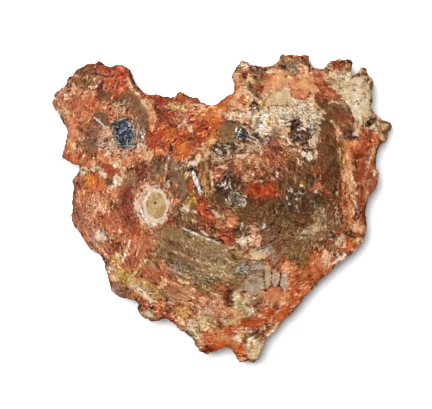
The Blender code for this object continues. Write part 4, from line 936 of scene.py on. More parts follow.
# Thickets of short bent threads: paint, middle, radii, how many, their length in mm, and the
# direction in degrees of those that are combed one way.
THICKETS = [
    ("cream", 218, 152, 16, 8, 30, 6), ("sand", 214, 156, 14, 9, 26, 5), ("olive", 220, 151, 16, 8, 24, 6),
    ("ivory", 258, 139, 12, 10, 26, 7), ("cream", 250, 148, 12, 7, 16, 6),
    ("cream", 246, 113, 20, 6, 20, 5), ("peach", 122, 157, 18, 8, 46, 6),
    ("salmon", 122, 158, 18, 8, 26, 6), ("ivory", 106, 143, 9, 10, 20, 7),
    ("ivory", 139, 139, 7, 12, 14, 6), ("dark", 118, 148, 16, 9, 22, 6), ("sand", 120, 106, 9, 6, 16, 5),
    ("ivory", 311, 124, 11, 8, 26, 7), ("umber", 308, 127, 12, 8, 10, 6), ("cream", 316, 140, 5, 16, 16, 6),
    ("ivory", 293, 197, 9, 9, 12, 5), ("blush", 250, 230, 8, 6, 5, 5), ("cream", 181, 163, 18, 12, 14, 5),
    ("peach", 178, 118, 26, 14, 30, 4), ("dark", 172, 126, 32, 22, 60, 4),
    ("amber", 190, 130, 26, 20, 70, 4), ("maroon", 180, 122, 32, 20, 70, 5),
    ("blush", 182, 120, 8, 8, 14, 5), ("gold", 178, 107, 12, 5, 18, 4), ("flame", 180, 130, 32, 20, 80, 6),
    ("maroon", 84, 106, 30, 36, 80, 4), ("blush", 78, 116, 24, 34, 34, 4),
    ("crimson", 80, 110, 26, 34, 50, 5), ("orange", 100, 96, 30, 26, 34, 4),
    ("maroon", 118, 76, 18, 10, 26, 5), ("cream", 194, 330, 10, 12, 22, 5),
    ("dark", 194, 333, 10, 14, 12, 6), ("amber", 180, 308, 10, 8, 20, 6), ("dark", 92, 78, 24, 12, 26, 5),
    ("peach", 88, 84, 24, 14, 22, 5), ("blush", 63, 100, 8, 16, 18, 4), ("umber", 358, 92, 10, 16, 14, 5),
    ("brown", 376, 121, 14, 8, 18, 7), ("dark", 330, 200, 22, 26, 34, 6), ("sand", 345, 218, 12, 26, 30, 6),
    ("ivory", 345, 250, 12, 12, 14, 6), ("dark", 247, 176, 26, 14, 26, 6),
    ("cream", 248, 165, 26, 12, 24, 5), ("dark", 206, 208, 12, 26, 18, 6),
    ("amber", 210, 215, 12, 26, 16, 5), ("umber", 258, 290, 20, 20, 20, 6),
    ("cream", 286, 300, 20, 12, 20, 6), ("flame", 268, 300, 24, 14, 20, 6),
    ("brown", 104, 212, 16, 26, 30, 5), ("peach", 104, 205, 16, 26, 26, 5),
    ("gold", 135, 285, 22, 14, 26, 6), ("brown", 145, 292, 26, 12, 20, 6),
    ("blush", 213, 310, 14, 8, 16, 8), ("umber", 188, 258, 40, 18, 40, 8, 23),
    ("sand", 196, 258, 36, 16, 16, 7, 23), ("cream", 186, 306, 30, 10, 18, 6, 25),
    ("umber", 195, 296, 34, 12, 26, 9, 22), ("blush", 186, 300, 34, 14, 22, 8, 22),
    ("pink", 79, 190, 6, 24, 14, 9, 88), ("plum", 80, 200, 6, 30, 18, 10, 86),
    ("maroon", 78, 200, 5, 30, 6, 8, 86), ("blush", 90, 244, 14, 9, 20, 11, 50),
    ("maroon", 90, 244, 16, 9, 16, 11, 50), ("crimson", 128, 205, 6, 26, 22, 8, 80),
    ("pink", 141, 250, 7, 14, 20, 14, 112), ("salmon", 134, 256, 8, 14, 14, 14, 118),
    ("crimson", 138, 250, 9, 14, 12, 12, 114), ("brown", 342, 180, 5, 34, 26, 12, 88),
    ("maroon", 366, 165, 8, 26, 34, 5), ("peach", 366, 165, 8, 26, 22, 4),
    ("peach", 350, 180, 6, 34, 26, 11, 86), ("dark", 330, 165, 10, 34, 26, 10, 88),
    ("brown", 318, 160, 10, 30, 24, 10, 88), ("rose", 318, 160, 10, 30, 14, 10, 88),
    ("chocolate", 290, 222, 26, 20, 50, 9, 8), ("rose", 295, 228, 26, 18, 16, 9, 4),
    ("khaki", 300, 232, 24, 16, 16, 9, 4), ("dark", 270, 66, 30, 12, 22, 5),
    ("peach", 270, 66, 30, 10, 18, 5), ("blush", 306, 70, 10, 10, 14, 5),
]
THREAD_WIDTHS, THREAD_STRENGTHS = (0.9, 1.4), (0.5, 0.95)
THREAD_STEPS, THREAD_BEND = (0.25, 0.5), 0.9  # of a thread's length, and radians
COMBED_SPREAD, COMBED_BEND = 0.15, 0.3  # how much of that bend combed threads keep
THREAD_LOOK = {"warp": 0.1, "rag": 0.1, "soft": 0.4}

# Marks that no thread crosses, laid last.
HALF = {"strength": 0.5}
CLEAR = [
    # the left lobe
    ("umber/brown", 103.5, 96.5, 6.4, 5, -10, PLATE), ("mauve/plum", 92, 141, 7, 11, 8, PLATE | HALF),
    ("wine/salmon", 77, 113, 6, 9, 15, HALF), ("salmon/rose", 62, 101, 4, 8, HALF),
    ("mauve/umber", 101, 119, 7, 6, 30, PLATE | HALF),
    ("ivory", 1.2, (94, 117), (99, 121), (105, 128), CRISP),
    ("umber/plum", 8, (128, 98), (136, 104), (141.5, 116), (143, 130), PLATE | {"strength": 0.65}),
    ("peach/salmon", 4.5, (147, 104), (152, 109), (154, 117), (151, 129), EVEN),
    ("dark/maroon", 2.6, (96, 75), (104, 75.5), (113, 77)),
    ("crimson/flame", 5, (104, 81), (112, 83), (121, 86), HALF),
    # the wedge under the bay, and the dark hollow on its right
    ("blush/pink", 1.5, (189, 116), (184, 122), (180, 127)),
    ("blush", 1.3, (184, 112), (184.5, 121), (190, 131)),
    ("gold/cream", 3, (172, 105), (179, 107.5), (187, 111)), ("maroon/red", 163, 119, 6, 7, HALF),
    ("flame/red", 4.5, (155, 140), (161, 133), (168, 127)),
    ("orange/flame", 3, (173, 157), (174, 147), (178, 138)),
    ("dark", 1.2, (168, 140), (171, 146), (170, 153)),
    ("umber/dark", 255, 139, 9, 5, 25, {"strength": 0.7}), ("umber/dark", 157, 166, 7, 8, PLATE | HALF),
    ("dark/umber", 1.3, (219, 129), (226, 123), (236, 121.5), (246, 124), (254, 130), (260, 137)),
    ("cream", 0.9, (246, 138), (254, 142), (262, 146)), ("sand", 0.9, (243, 143), (252, 146), (259, 151)),
    ("cream", 0.9, (248, 134), (256, 139), (262, 146), (266, 151)),
    # The maroon and dark oval at (296, 123.5) darkens that hollow again: partly its own colour, partly
    # painted shade.
    ("maroon/dark", 296, 123.5, 6, 5.4, 10, {"strength": 0.7}),
    ("mauve/dark", 301, 136, 10, 5.5, 10, {"strength": 0.75, "size": 2}),
    ("mauve/taupe", 275, 133, 5, 6.5, {"strength": 0.6, "calm": 0.6}),
    ("ice/white", 1.2, (306, 122), (310, 128), (313, 133)),
    ("white/ice", 1.4, (314, 134), (315, 144), (317, 154)),
    ("ivory", 0.9, (298, 131), (304, 126), (310, 121)),
    ("dark/olive", 290, 214, 15, 11, {"strength": 0.35, "calm": 0.5}),
    # the right lobe's salmon cup and red spots
    ("salmon/peach", 300, 88, 9, 7, PLATE | HALF), ("red/maroon", 245, 75, 3.6, 3.2, CRISP),
    ("coral/brick", 1.5, (289, 90), (292, 96.5), (299, 100), (306, 97.5), (311, 91), CRISP),
    # the right flank
    # The dark line from (355, 158) to (357, 175) lies in the long pit there: partly its own dark colour,
    # partly painted shade of the pit.
    ("dark/umber", 3, (355, 158), (357, 166), (357, 175), {"strength": 0.8}),
    ("salmon/peach", 3, (348, 160), (351, 175), (352, 190), HALF),
    ("cream/blush", 1.2, (372, 152), (370, 160), (368, 168)),
    ("coral/salmon", 6, (345, 149), (354, 147), (364, 141), HALF),
    # the chestnut column
    ("chocolate/umber", 15, (328, 140), (329, 158), (327, 178), PLATE | {"strength": 0.65}),
    # the grey plates, the pink one below them and the blue-grey clouds
    ("ash", 254, 285, 10, 9.5, PLATE | {"strength": 0.85}), ("umber/grey", 252, 281, 4.5, 3, FAINT),
    ("ash/sand", 267.5, 277, 3.2, 14, PLATE), ("ash", 275, 279, 3, 8.5, PLATE),
    ("shell/ash", 284.5, 282, 4, 9, PLATE), ("salmon/pink", 273, 294, 7, 6.6, PLATE),
    ("dark", 0.9, (264, 271), (264, 282), (265, 291)),
    ("dark", 0.9, (271.5, 268), (271.5, 279), (273, 288)),
    ("dark", 0.9, (279.5, 272), (279.5, 282), (282, 291), (286, 292)),
    ("umber", 0.9, (243, 278), (244, 290), (249, 296), (261, 295)),
    ("cream/peach", 283, 302, 3, 2.4, CRISP), ("maroon/brick", 276, 307, 3.4, 3, CRISP),
    ("cream/sand", 4, (236, 296), (241, 302), (247, 309), (251, 313), EVEN),
    ("taupe/sand", 244, 303, 5, 5.5, EVEN), ("coral/pink", 316, 262, 6, 7.5, 20, EVEN),
    ("blush/peach", 2.4, (322, 262), (328, 256), (333, 251)),
    # the field's bands
    ("taupe/khaki", 206, 250, 24, 8, 23, {"strength": 0.45, "calm": 0.7}),
    ("mauve", 6, (163, 250), (176, 255.5), (192, 262.5), (208, 269), PLATE | {"strength": 0.65}),
    ("plum/mauve", 3.5, (166, 243), (180, 249), (196, 255.5), PLATE | HALF),
    ("sand/taupe", 3, (196, 259), (208, 265), (222, 272), HALF), ("grey/ice", 177, 270.5, 10, 4, 22, HALF),
    # the left flank and its fan
    ("wine/maroon", 8, (130, 184), (126, 198), (127, 214), (133, 228), PLATE | HALF),
    ("wine/plum", 4, (76, 202), (82, 224), (94, 243), PLATE | HALF),
    ("pink", 1, (80, 222), (88, 235), (99, 247)),
    ("wine/rose", 8, (147, 238), (141, 250), (134, 262), PLATE | HALF),
    ("blush", 1.2, (131, 240), (127, 251), (122, 263), CRISP),
    ("peach", 1, (142, 240), (139, 250), (133, 260)),
    ("white/shell", 2.2, (139.5, 206), (142.5, 215), (149, 222.5), (157, 225), CRISP),
    # the lower left
    ("plum/ice", 117, 290, 7, 5, 25, HALF), ("blue/plum", 131, 292.5, 3.4, 2.2, 10, FAINT),
    ("wine/salmon", 149, 272, 10, 4.5, 24, PLATE | HALF), ("wine", 132, 261, 4.5, 6, -20, FAINT),
    ("gold/cream", 1.3, (149, 257), (141, 265), (134, 274), (128, 280), CRISP),
    ("salmon/peach", 1.8, (161, 277), (172, 282), (184, 287), (194, 292)),
    # the tip
    ("cream/gold", 254, 350, 7, 8, 10, {"strength": 0.6, "share": 0.3}),
]

REGIONS = [LEFT_LOBE, POCKET_RIM, TOP_MIDDLE, RIGHT_LOBE, EYE, RIM_RIGHT, BELOW_LOBE, TONGUE, RIGHT_FLANK,
           HEART, LEFT_FLANK, LOWER_LEFT, FIELD, LOWER_RIGHT, BOTTOM, BEFORE_RING]
REGION_CALM, FLANK_CALM = 0.35, 0.6  # how even the marks of a region are, and those of the left flank
GRAIN_CONTRAST = 0.13
RIM_WIDTH, RIM_FULL, RIM_STRENGTH = 3.0, 0.4, 0.75  # mm where the dark edge line ends and is full
RIM_LUMPS, RIM_UNEVEN, RIM_SEED = 22, 0.6, 35  # mm, the size of its patches, and how much they differ
RIM_FRAY, RIM_FIBRE = 0.5, 3.4  # mm that its inner side frays by, and the width of its fibres


def lay(stone, marks, **usual):
    """Lays marks one after another: ovals, and lines through points that start with a width."""
    for paints, *rest in marks:
        options = usual | (rest.pop() if isinstance(rest[-1], dict) else {})
        colours = paints.split("/")
        if isinstance(rest[1], tuple):
            stone.stroke(rest[1:], rest[0], *colours, **options)
        else:
            x, y, rx, ry, *turn = rest
            stone.blob((x, y), (rx, ry), *(turn or [0]), *colours, **options)


def thicket(stone, paint, x, y, rx, ry, count, length, combed=None):
    """Short threads of one paint over an oval, each bent its own way, or all combed one way in degrees."""
    chance = random.Random(x * 1000 + y)
    for _ in range(count):
        angle, out = chance.uniform(0, 2 * np.pi), chance.random() ** 0.5
        px, py = x + out * rx * np.cos(angle), y + out * ry * np.sin(angle)
        heading, bend = chance.uniform(0, 2 * np.pi), chance.uniform(-THREAD_BEND, THREAD_BEND)
        if combed is not None:
            heading, bend = math.radians(combed) + COMBED_SPREAD * bend, COMBED_BEND * bend
        step = length * chance.uniform(*THREAD_STEPS)
        points = [(px, py)]
        for _ in range(2):
            px, py = px + step * np.cos(heading), py + step * np.sin(heading)
            points.append((px, py))
            heading += bend
        width, strength = chance.uniform(*THREAD_WIDTHS), chance.uniform(*THREAD_STRENGTHS)
        stone.stroke(points, width, paint, strength=strength, **THREAD_LOOK)


def paint_bands(stone):
    """The growth bands of the khaki field, laid parallel to its pale ledge."""
    start, end = np.array(LEDGE)
    along = (end - start) / np.hypot(*(end - start))
    down = np.array((-along[1], along[0]))
    for paints, below, width, before, after, options in BANDS:
        ends = start + below * down - before * along, end + below * down + after * along
        points = [tuple(point) for point in ends]
        stone.stroke(points, width, *paints.split("/"), **BAND_EDGE | options)


def paint_ring(stone):
    """The side branch: a small cross-section of its own, with its growth rings."""
    lay(stone, RING)
    where = stone.near(RING_CENTRE, RING_REACH)
    x = stone.x[where] - RING_CENTRE[0]
    y = stone.y[where] - RING_CENTRE[1]
    wobble = RING_WOBBLE * fractal(stone.x[where], stone.y[where], RING_WOBBLE_SIZE, RING_SEED)
    radius = np.hypot(x / RING_SQUASH, y) + wobble
    for middle, width, paint, strength in RING_BANDS:
        band = smooth(width, width * RING_CREST, np.abs(radius - middle))
        stone.mix(where, strength * band, paint)
    lay(stone, [RING_PITH])


def paint_rim(stone, to_edge):
    """A thin dark brown line round the slice's edge, in uneven patches; to_edge is each point's distance to
    its outline in mm.
    """
    uneven = 0.5 + RIM_UNEVEN * fractal(stone.x, stone.y, RIM_LUMPS, RIM_SEED, 2)
    depth = to_edge + RIM_FRAY * stone.edge
    band = smooth(RIM_WIDTH, RIM_FULL, depth) * np.clip(uneven, 0, 1)
    everywhere = np.arange(len(stone.x))
    stone.mix(everywhere, RIM_STRENGTH * band, "brown", "dark", size=RIM_FIBRE)


def paint_stone(x, y, to_edge):
    """Colour for every point of the polished face, given in sheet millimetres."""
    stone = Canvas(x, y, "coral")
    lay(stone, GROUND)
    for marks in REGIONS:
        lay(stone, marks, calm=FLANK_CALM if marks is LEFT_FLANK else REGION_CALM)
    paint_bands(stone)
    lay(stone, GLAZES, **WASH)
    lay(stone, FINE_WORK)
    paint_ring(stone)
    paint_rim(stone, to_edge)
    for paint, cx, cy, rx, ry, turn, size, share in SPECKS:
        stone.specks((cx, cy), (rx, ry), turn, paint, size, share, SPECK_STRENGTH)
    stone.finish_grain(GRAIN_CONTRAST)
    for patch in THICKETS:
        thicket(stone, *patch)
    for points in VEINS:
        stone.stroke(points, VEIN_WIDTH, "ivory", "cream", **VEIN_LOOK)
    lay(stone, CLEAR)
    return stone


# ---------------------------------------------------------------- the stone's mesh
FACE_STEP = 1.15  # mm between the points of the polished face
FINE_STEP = 0.6  # mm between its points round the hollows and the finest marks
UNDER_STEP = 5.0  # mm between the points of the underside
WALL_EDGE = 2.0  # mm, the longest edge left in the wall
FINE_ZONES = [((123.5, 134), 19), ((242, 135), 9), ((236.5, 198), 13), ((154, 206), 22), ((196, 182), 10),
              ((301, 128), 14)]  # sheet middle and radius of what is drawn finely
GRID_SEED, GRID_JITTER = 5, 0.18  # the points of a face stray by so many steps
RIM_GAP = 0.45  # steps kept free along the outline
SLICE_WELD = 1e-6  # metres
CAP_WELD = 1e-7  # metres
RAY_LIFT = 0.01  # metres above a surface that a ray is dropped on
LEVEL = 0.02  # mm within which a point counts as lying on a sawn face
LOWER_PART = 0.8  # the wall is followed up from faces under this share of the middle height
WALL_EASE = 0.4  # how much the wall's inner points are smoothed before they are roughened
WALL_SLANT = (1.1, -0.8)  # how the lumps of the wall shift with each mm of height
LUMPS = {"size": 7, "seed": 301, "octaves": 3, "gain": 0.7}
CRUMBS = {"size": 2.6, "seed": 305, "octaves": 2}
CRUMB_SHARE = 0.9  # of the crumbs' height against the lumps'
LEDGES = {"size": 4.5, "seed": 309, "octaves": 2}
LEDGE_STRETCH, LEDGE_PLACE, LEDGE_TILT = 0.25, 40, 0.1  # where their noise is read: long, and nearly level
LUMP_HEIGHT, LEDGE_HEIGHT, WALL_INSET = 0.52, 0.35, 0.2  # mm
BORDER_SHARE = 0.8  # how much of that movement the edges of the sawn faces make


def wall_faces(made):
    """The faces of the outer wall: all that hangs together from its lower part up."""
    top, bottom = SLICE_HIGH.z - LEVEL * MM, SLICE_LOW.z + LEVEL * MM

    def is_wall(face):
        heights = [v.co.z for v in face.verts]
        return any(bottom < z < top for z in heights) or (max(heights) >= top and min(heights) <= bottom)

    start = (SLICE_HIGH.z + SLICE_LOW.z) / 2 * LOWER_PART
    waiting = [f for f in made.faces if is_wall(f) and f.calc_center_median().z < start]
    found = set(waiting)
    while waiting:
        face = waiting.pop()
        for edge in face.edges:
            for other in edge.link_faces:
                if other not in found and is_wall(other):
                    found.add(other)
                    waiting.append(other)
    return found


def closed_loop(edges):
    """The vertices round a closed loop of edges, in order."""
    links = {}
    for edge in edges:
        for vert in edge.verts:
            links.setdefault(vert, []).append(edge.other_vert(vert))
    start = next(iter(links))
    loop, before, here = [start], None, start
    while True:
        step = next(v for v in links[here] if v is not before)
        if step is start:
            return loop
        loop.append(step)
        before, here = here, step


def inside(x, y, loop):
    """Which points lie inside a closed loop of 2D points."""
    result = np.zeros(len(x), bool)
    for (x0, y0), (x1, y1) in zip(loop, np.roll(loop, -1, axis=0)):
        if y0 == y1:
            continue
        crosses = (y0 > y) != (y1 > y)
        result ^= crosses & (x < (x1 - x0) * (y - y0) / (y1 - y0) + x0)
    return result


def scattered_grid(low, high, step, chance):
    """A grid of equal triangles, each point moved a little so that no rows show."""
    row = step * math.sqrt(3) / 2
    ys = np.arange(low[1], high[1], row)
    xs = np.arange(low[0], high[0], step)
    x, y = np.meshgrid(xs, ys)
    x[1::2] += step / 2
    x = x.ravel() + chance.uniform(-GRID_JITTER, GRID_JITTER, x.size) * step
    y = y.ravel() + chance.uniform(-GRID_JITTER, GRID_JITTER, y.size) * step
    return x, y


def refine(x, y, chance):
    """The same points, with a closer grid in place of those in each fine zone."""
    zones = [(from_sheet(*middle), radius * MM) for middle, radius in FINE_ZONES]
    for spot, radius in zones:
        out_of_zone = np.hypot(x - spot.x, y - spot.y) > radius
        x, y = x[out_of_zone], y[out_of_zone]
    for spot, radius in zones:
        low, high = (spot.x - radius, spot.y - radius), (spot.x + radius, spot.y + radius)
        fine_x, fine_y = scattered_grid(low, high, FINE_STEP * MM, chance)
        in_zone = np.hypot(fine_x - spot.x, fine_y - spot.y) <= radius
        x, y = np.append(x, fine_x[in_zone]), np.append(y, fine_y[in_zone])
    return x, y


def points_within(x, y, outline, gap):
    """The points that lie inside a closed outline and a gap or more away from it."""
    along = np.roll(outline, -1, axis=0) - np.roll(outline, 1, axis=0)
    across = np.stack([along[:, 1], -along[:, 0]], axis=1)
    across /= np.linalg.norm(across, axis=1)[:, None]
    turn = np.cross(outline - outline.mean(axis=0), along).sum()
    keep = inside(x, y, outline - np.sign(turn) * across * gap)
    return list(zip(x[keep].tolist(), y[keep].tolist()))


def cap(made, loop, points):
    """Fills a loop of vertices with triangles through the given points, all level with it."""
    border = [(v.co.x, v.co.y) for v in loop]
    places = [Vector(p) for p in border + points]
    ring = [(i, (i + 1) % len(border)) for i in range(len(border))]
    flat, _, faces, sources, _, _ = geometry.delaunay_2d_cdt(places, ring, [], 1, CAP_WELD)
    level = loop[0].co.z
    verts = []
    for place, source in zip(flat, sources):
        known = [k for k in source if k < len(border)]
        verts.append(loop[known[0]] if known else made.verts.new((place.x, place.y, level)))
    added = []
    for face in faces:
        corners = [verts[k] for k in face]
        if len(set(corners)) == 3:
            added.append(made.faces.new(corners))
    return added


def split_long_edges(made):
    """Cuts the wall's long edges in two, twice over, and leaves triangles."""
    for _ in range(2):
        long_edges = [e for e in made.edges if e.calc_length() > WALL_EDGE * MM]
        bmesh.ops.subdivide_edges(made, edges=long_edges, cuts=1, use_grid_fill=False)
        bmesh.ops.triangulate(made, faces=made.faces)


def roughen_wall(made, borders):
    """Fine bark roughness: moves the wall in and out across its own surface."""
    inner = [v for v in made.verts if v not in borders]
    bmesh.ops.smooth_vert(
        made, verts=inner, factor=WALL_EASE, use_axis_x=True, use_axis_y=True, use_axis_z=True
    )
    made.normal_update()
    verts = list(made.verts)
    place = np.array([v.co for v in verts]) / MM
    out = np.array([v.normal for v in verts])
    x, y, z = place.T
    slant_x, slant_y = WALL_SLANT
    lumps = fractal(x + slant_x * z, y + slant_y * z, **LUMPS) + CRUMB_SHARE * fractal(x, y, **CRUMBS)
    ledges = fractal(x * LEDGE_STRETCH + LEDGE_PLACE, z + LEDGE_TILT * y, **LEDGES)
    shift = LUMP_HEIGHT * lumps + LEDGE_HEIGHT * (np.round(ledges * 2) / 2) - WALL_INSET
    for i, vert in enumerate(verts):
        move = out[i] * shift[i] * MM
        if vert in borders:
            move = np.array((move[0], move[1], 0.0)) * BORDER_SHARE
        vert.co += Vector(move)


def sink_into_hollows(verts, solid):
    """Lowers the points of the polished face onto the model, so that its hollows show."""
    for vert in verts:
        hit = solid.ray_cast(vert.co + Vector((0, 0, RAY_LIFT)), Vector((0, 0, -1)))[0]
        if hit:
            vert.co.z = hit.z


def stone_mesh():
    """The slice as one mesh, its wall from the model and its faces new, and its top edge's points.

    It is closed but for one knuckle of the lower edge, which crosses itself by less than 1 mm.
    """
    made = bmesh.new()
    made.from_mesh(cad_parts["wood_slice"].data)
    bmesh.ops.remove_doubles(made, verts=made.verts, dist=SLICE_WELD)
    solid = BVHTree.FromBMesh(made)
    wall = wall_faces(made)
    bmesh.ops.delete(made, geom=[f for f in made.faces if f not in wall], context="FACES")
    split_long_edges(made)
    open_edges = [e for e in made.edges if e.is_boundary]
    middle = (SLICE_LOW.z + SLICE_HIGH.z) / 2
    upper = closed_loop([e for e in open_edges if e.verts[0].co.z > middle])
    lower = closed_loop([e for e in open_edges if e.verts[0].co.z < middle])
    borders = set(upper) | set(lower)
    roughen_wall(made, borders)
    chance = np.random.RandomState(GRID_SEED)
    caps = []
    for loop, step in ((upper, FACE_STEP * MM), (lower, UNDER_STEP * MM)):
        outline = np.array([(v.co.x, v.co.y) for v in loop])
        x, y = scattered_grid(outline.min(axis=0), outline.max(axis=0), step, chance)
        if loop is upper:
            x, y = refine(x, y, chance)
        caps.append(cap(made, loop, points_within(x, y, outline, RIM_GAP * step)))
    sink_into_hollows({v for face in caps[0] for v in face.verts} - borders, solid)
    bmesh.ops.recalc_face_normals(made, faces=made.faces)
    rim = np.array([v.co for v in upper])
    mesh = bpy.data.meshes.new("stone_slice")
    made.to_mesh(mesh)
    made.free()
    return mesh, rim


# ---------------------------------------------------------------- node materials
class Nodes:
    """Short calls that add nodes to a material."""

    def __init__(self, name):
        self.material = bpy.data.materials.new(name)
        self.material.use_nodes = True
        self.tree = self.material.node_tree
        self.shader = self.tree.nodes["Principled BSDF"]
        self.place = self.tree.nodes.new("ShaderNodeTexCoord").outputs["Object"]

    def link(self, value, socket):
        """Joins a socket to another, or sets it to a plain value."""
        if isinstance(value, bpy.types.NodeSocket):
            self.tree.links.new(value, socket)
        else:
            socket.default_value = value

    def add(self, kind, output, inputs, **settings):
        """A node of a kind with its settings and its inputs, by name or number; gives one output."""
        node = self.tree.nodes.new("ShaderNode" + kind)
        for key, value in settings.items():
            setattr(node, key, value)
        for key, value in inputs.items():
            self.link(value, node.inputs[key])
        return node.outputs[output]

    def attribute(self, name, output="Color"):
        return self.add("Attribute", output, {}, attribute_name=name)

    def noise(self, size_mm, detail=3.0, roughness=0.6, stretch=(1, 1, 1)):
        """Soft noise, about 0.3 to 0.7, in lumps so many millimetres wide."""
        scale = [1 / (size_mm * MM) / s for s in stretch]
        place = self.add("Mapping", "Vector", {"Scale": scale, "Vector": self.place})
        look = {"Scale": 1.0, "Detail": detail, "Roughness": roughness, "Vector": place}
        return self.add("TexNoise", "Fac", look)

    def ring_grain(self, across_mm, along_mm, shift=0.0):
        """Fine strands that run round the pith and wander; about 0.3 to 0.7."""
        split = self.tree.nodes.new("ShaderNodeSeparateXYZ")
        self.link(self.place, split.inputs[0])
        x, y = split.outputs[0], split.outputs[1]
        pith = from_sheet(*PITH)
        dx, dy = self.math("SUBTRACT", x, pith.x), self.math("SUBTRACT", y, pith.y)
        radius = self.math("SQRT", self.total(self.math("MULTIPLY", dx, dx), self.math("MULTIPLY", dy, dy)))
        sway = self.math("MULTIPLY", self.noise(STRAND_SWAY_SIZE, 2.0), STRAND_SWAY * MM)
        place = self.add("CombineXYZ", 0, {
            0: self.math("ADD", self.math("DIVIDE", x, along_mm * MM), shift),
            1: self.math("DIVIDE", y, along_mm * MM),
            2: self.math("DIVIDE", self.math("ADD", radius, sway), across_mm * MM),
        })
        return self.add("TexNoise", "Fac", {"Scale": 1.0, "Detail": 1.0, "Vector": place})

    def cells(self, size_mm):
        """Distance from the middles of scattered cells."""
        return self.add("TexVoronoi", "Distance", {"Scale": 1 / (size_mm * MM), "Vector": self.place})

    def ramp(self, value, low, high, to_low=0.0, to_high=1.0):
        limits = {"From Min": low, "From Max": high, "To Min": to_low, "To Max": to_high}
        return self.add("MapRange", "Result", {"Value": value} | limits)

    def math(self, operation, first, second=0.0):
        return self.add("Math", 0, {0: first, 1: second}, operation=operation)

    def total(self, *values):
        result = values[0]
        for value in values[1:]:
            result = self.math("ADD", result, value)
        return result

    def line(self, value, width):
        """1 where a noise passes its middle value, falling to 0 a width away: a thin winding line."""
        return self.ramp(self.math("ABSOLUTE", self.math("SUBTRACT", value, 0.5)), width, 0.3 * width)

    def blend(self, amount, first, second, kind="MIX"):
        inputs = {"Factor": amount, 6: first, 7: second}
        return self.add("Mix", 2, inputs, data_type="RGBA", blend_type=kind)

    def gamma(self, colour, power):
        return self.add("Gamma", "Color", {"Color": colour, "Gamma": power})

    def bump(self, height, strength, distance_mm, normal=None):
        inputs = {"Height": height, "Strength": strength, "Distance": distance_mm * MM}
        return self.add("Bump", "Normal", inputs | ({"Normal": normal} if normal else {}))

    def grey(self, value):
        return self.add("CombineColor", "Color", {0: value, 1: value, 2: value})


STRAND_SWAY, STRAND_SWAY_SIZE = 16, 14.0  # mm that the fine strands wander, in lumps so many mm wide
LIGHT_STRAND = ((1.5, 7.0), (0.575, 0.66, 0.0, 0.26))  # mm across and along, and a ramp to its strength
DARK_STRAND = ((1.5, 6.0, 5.0), (0.42, 0.35, 0.0, -0.24))
# Cracks are dark and threads are light: strands, line width, size of the patches they keep to, ramp.
CRACK = ((4.0, 9.0, 9.0), 0.012, 11.0, (0.45, 0.55, 0.0, -0.2))
THREAD = ((5.0, 10.0, 17.0), 0.010, 13.0, (0.5, 0.6, 0.0, 0.2))
BUSY_SIZE, BUSY = 16.0, (0.42, 0.58, 0.35, 1.0)  # the patches where the strands are strong
CALM_LEFT = 0.25  # how much of all this shows where the paint is calm
GRIT_SIZE, GRIT = 1.7, (0.3, 0.7, -0.13, 0.13)
PIT_SIZE, PIT_EDGE = 1.9, (0.16, 0.05)  # mm between dark pits, and a ramp across the edge of one
PIT_PATCH_SIZE, PIT_PATCH = 9.0, (0.45, 0.62)  # the patches that the pits keep to
PIT_STRENGTH, PIT_COLOUR = 0.5, (0.05, 0.025, 0.015, 1.0)
POLISH_SIZE, POLISH = 5.0, (0.3, 0.7, 0.34, 0.52)  # roughness of the polished face
BARK_DULLER = 0.4  # added to the roughness on the bark
COARSE_BUMP, COARSE_DEPTH = (0.0, 1.0, 0.12, 0.8), 0.35  # from the face to the bark, and mm
FINE_BUMP, FINE_DEPTH, FINE_SIZE = (0.0, 1.0, 0.05, 0.5), 0.2, 0.7
CLOUD_SIZE, CLOUD = 0.9, (0.3, 0.7, 0.7, 1.35)  # the milky patches in the quartz: mm, and a ramp
FROST_SIZE, FROST = 1.5, 0.15  # and its duller patches: mm, and how much rougher
GROWTH_SIZE, GROWTH_STRETCH = 0.25, (3, 3, 1)  # the fine growth lines on its sides
GROWTH_STRENGTH, GROWTH_DEPTH = 0.25, 0.1
PAPER_SIZE, PAPER_TONES, PAPER_ROUGHNESS = 60.0, (0.90, 0.92), 0.9
STONE_SPECULAR, QUARTZ_SPECULAR = 0.05, 0.2


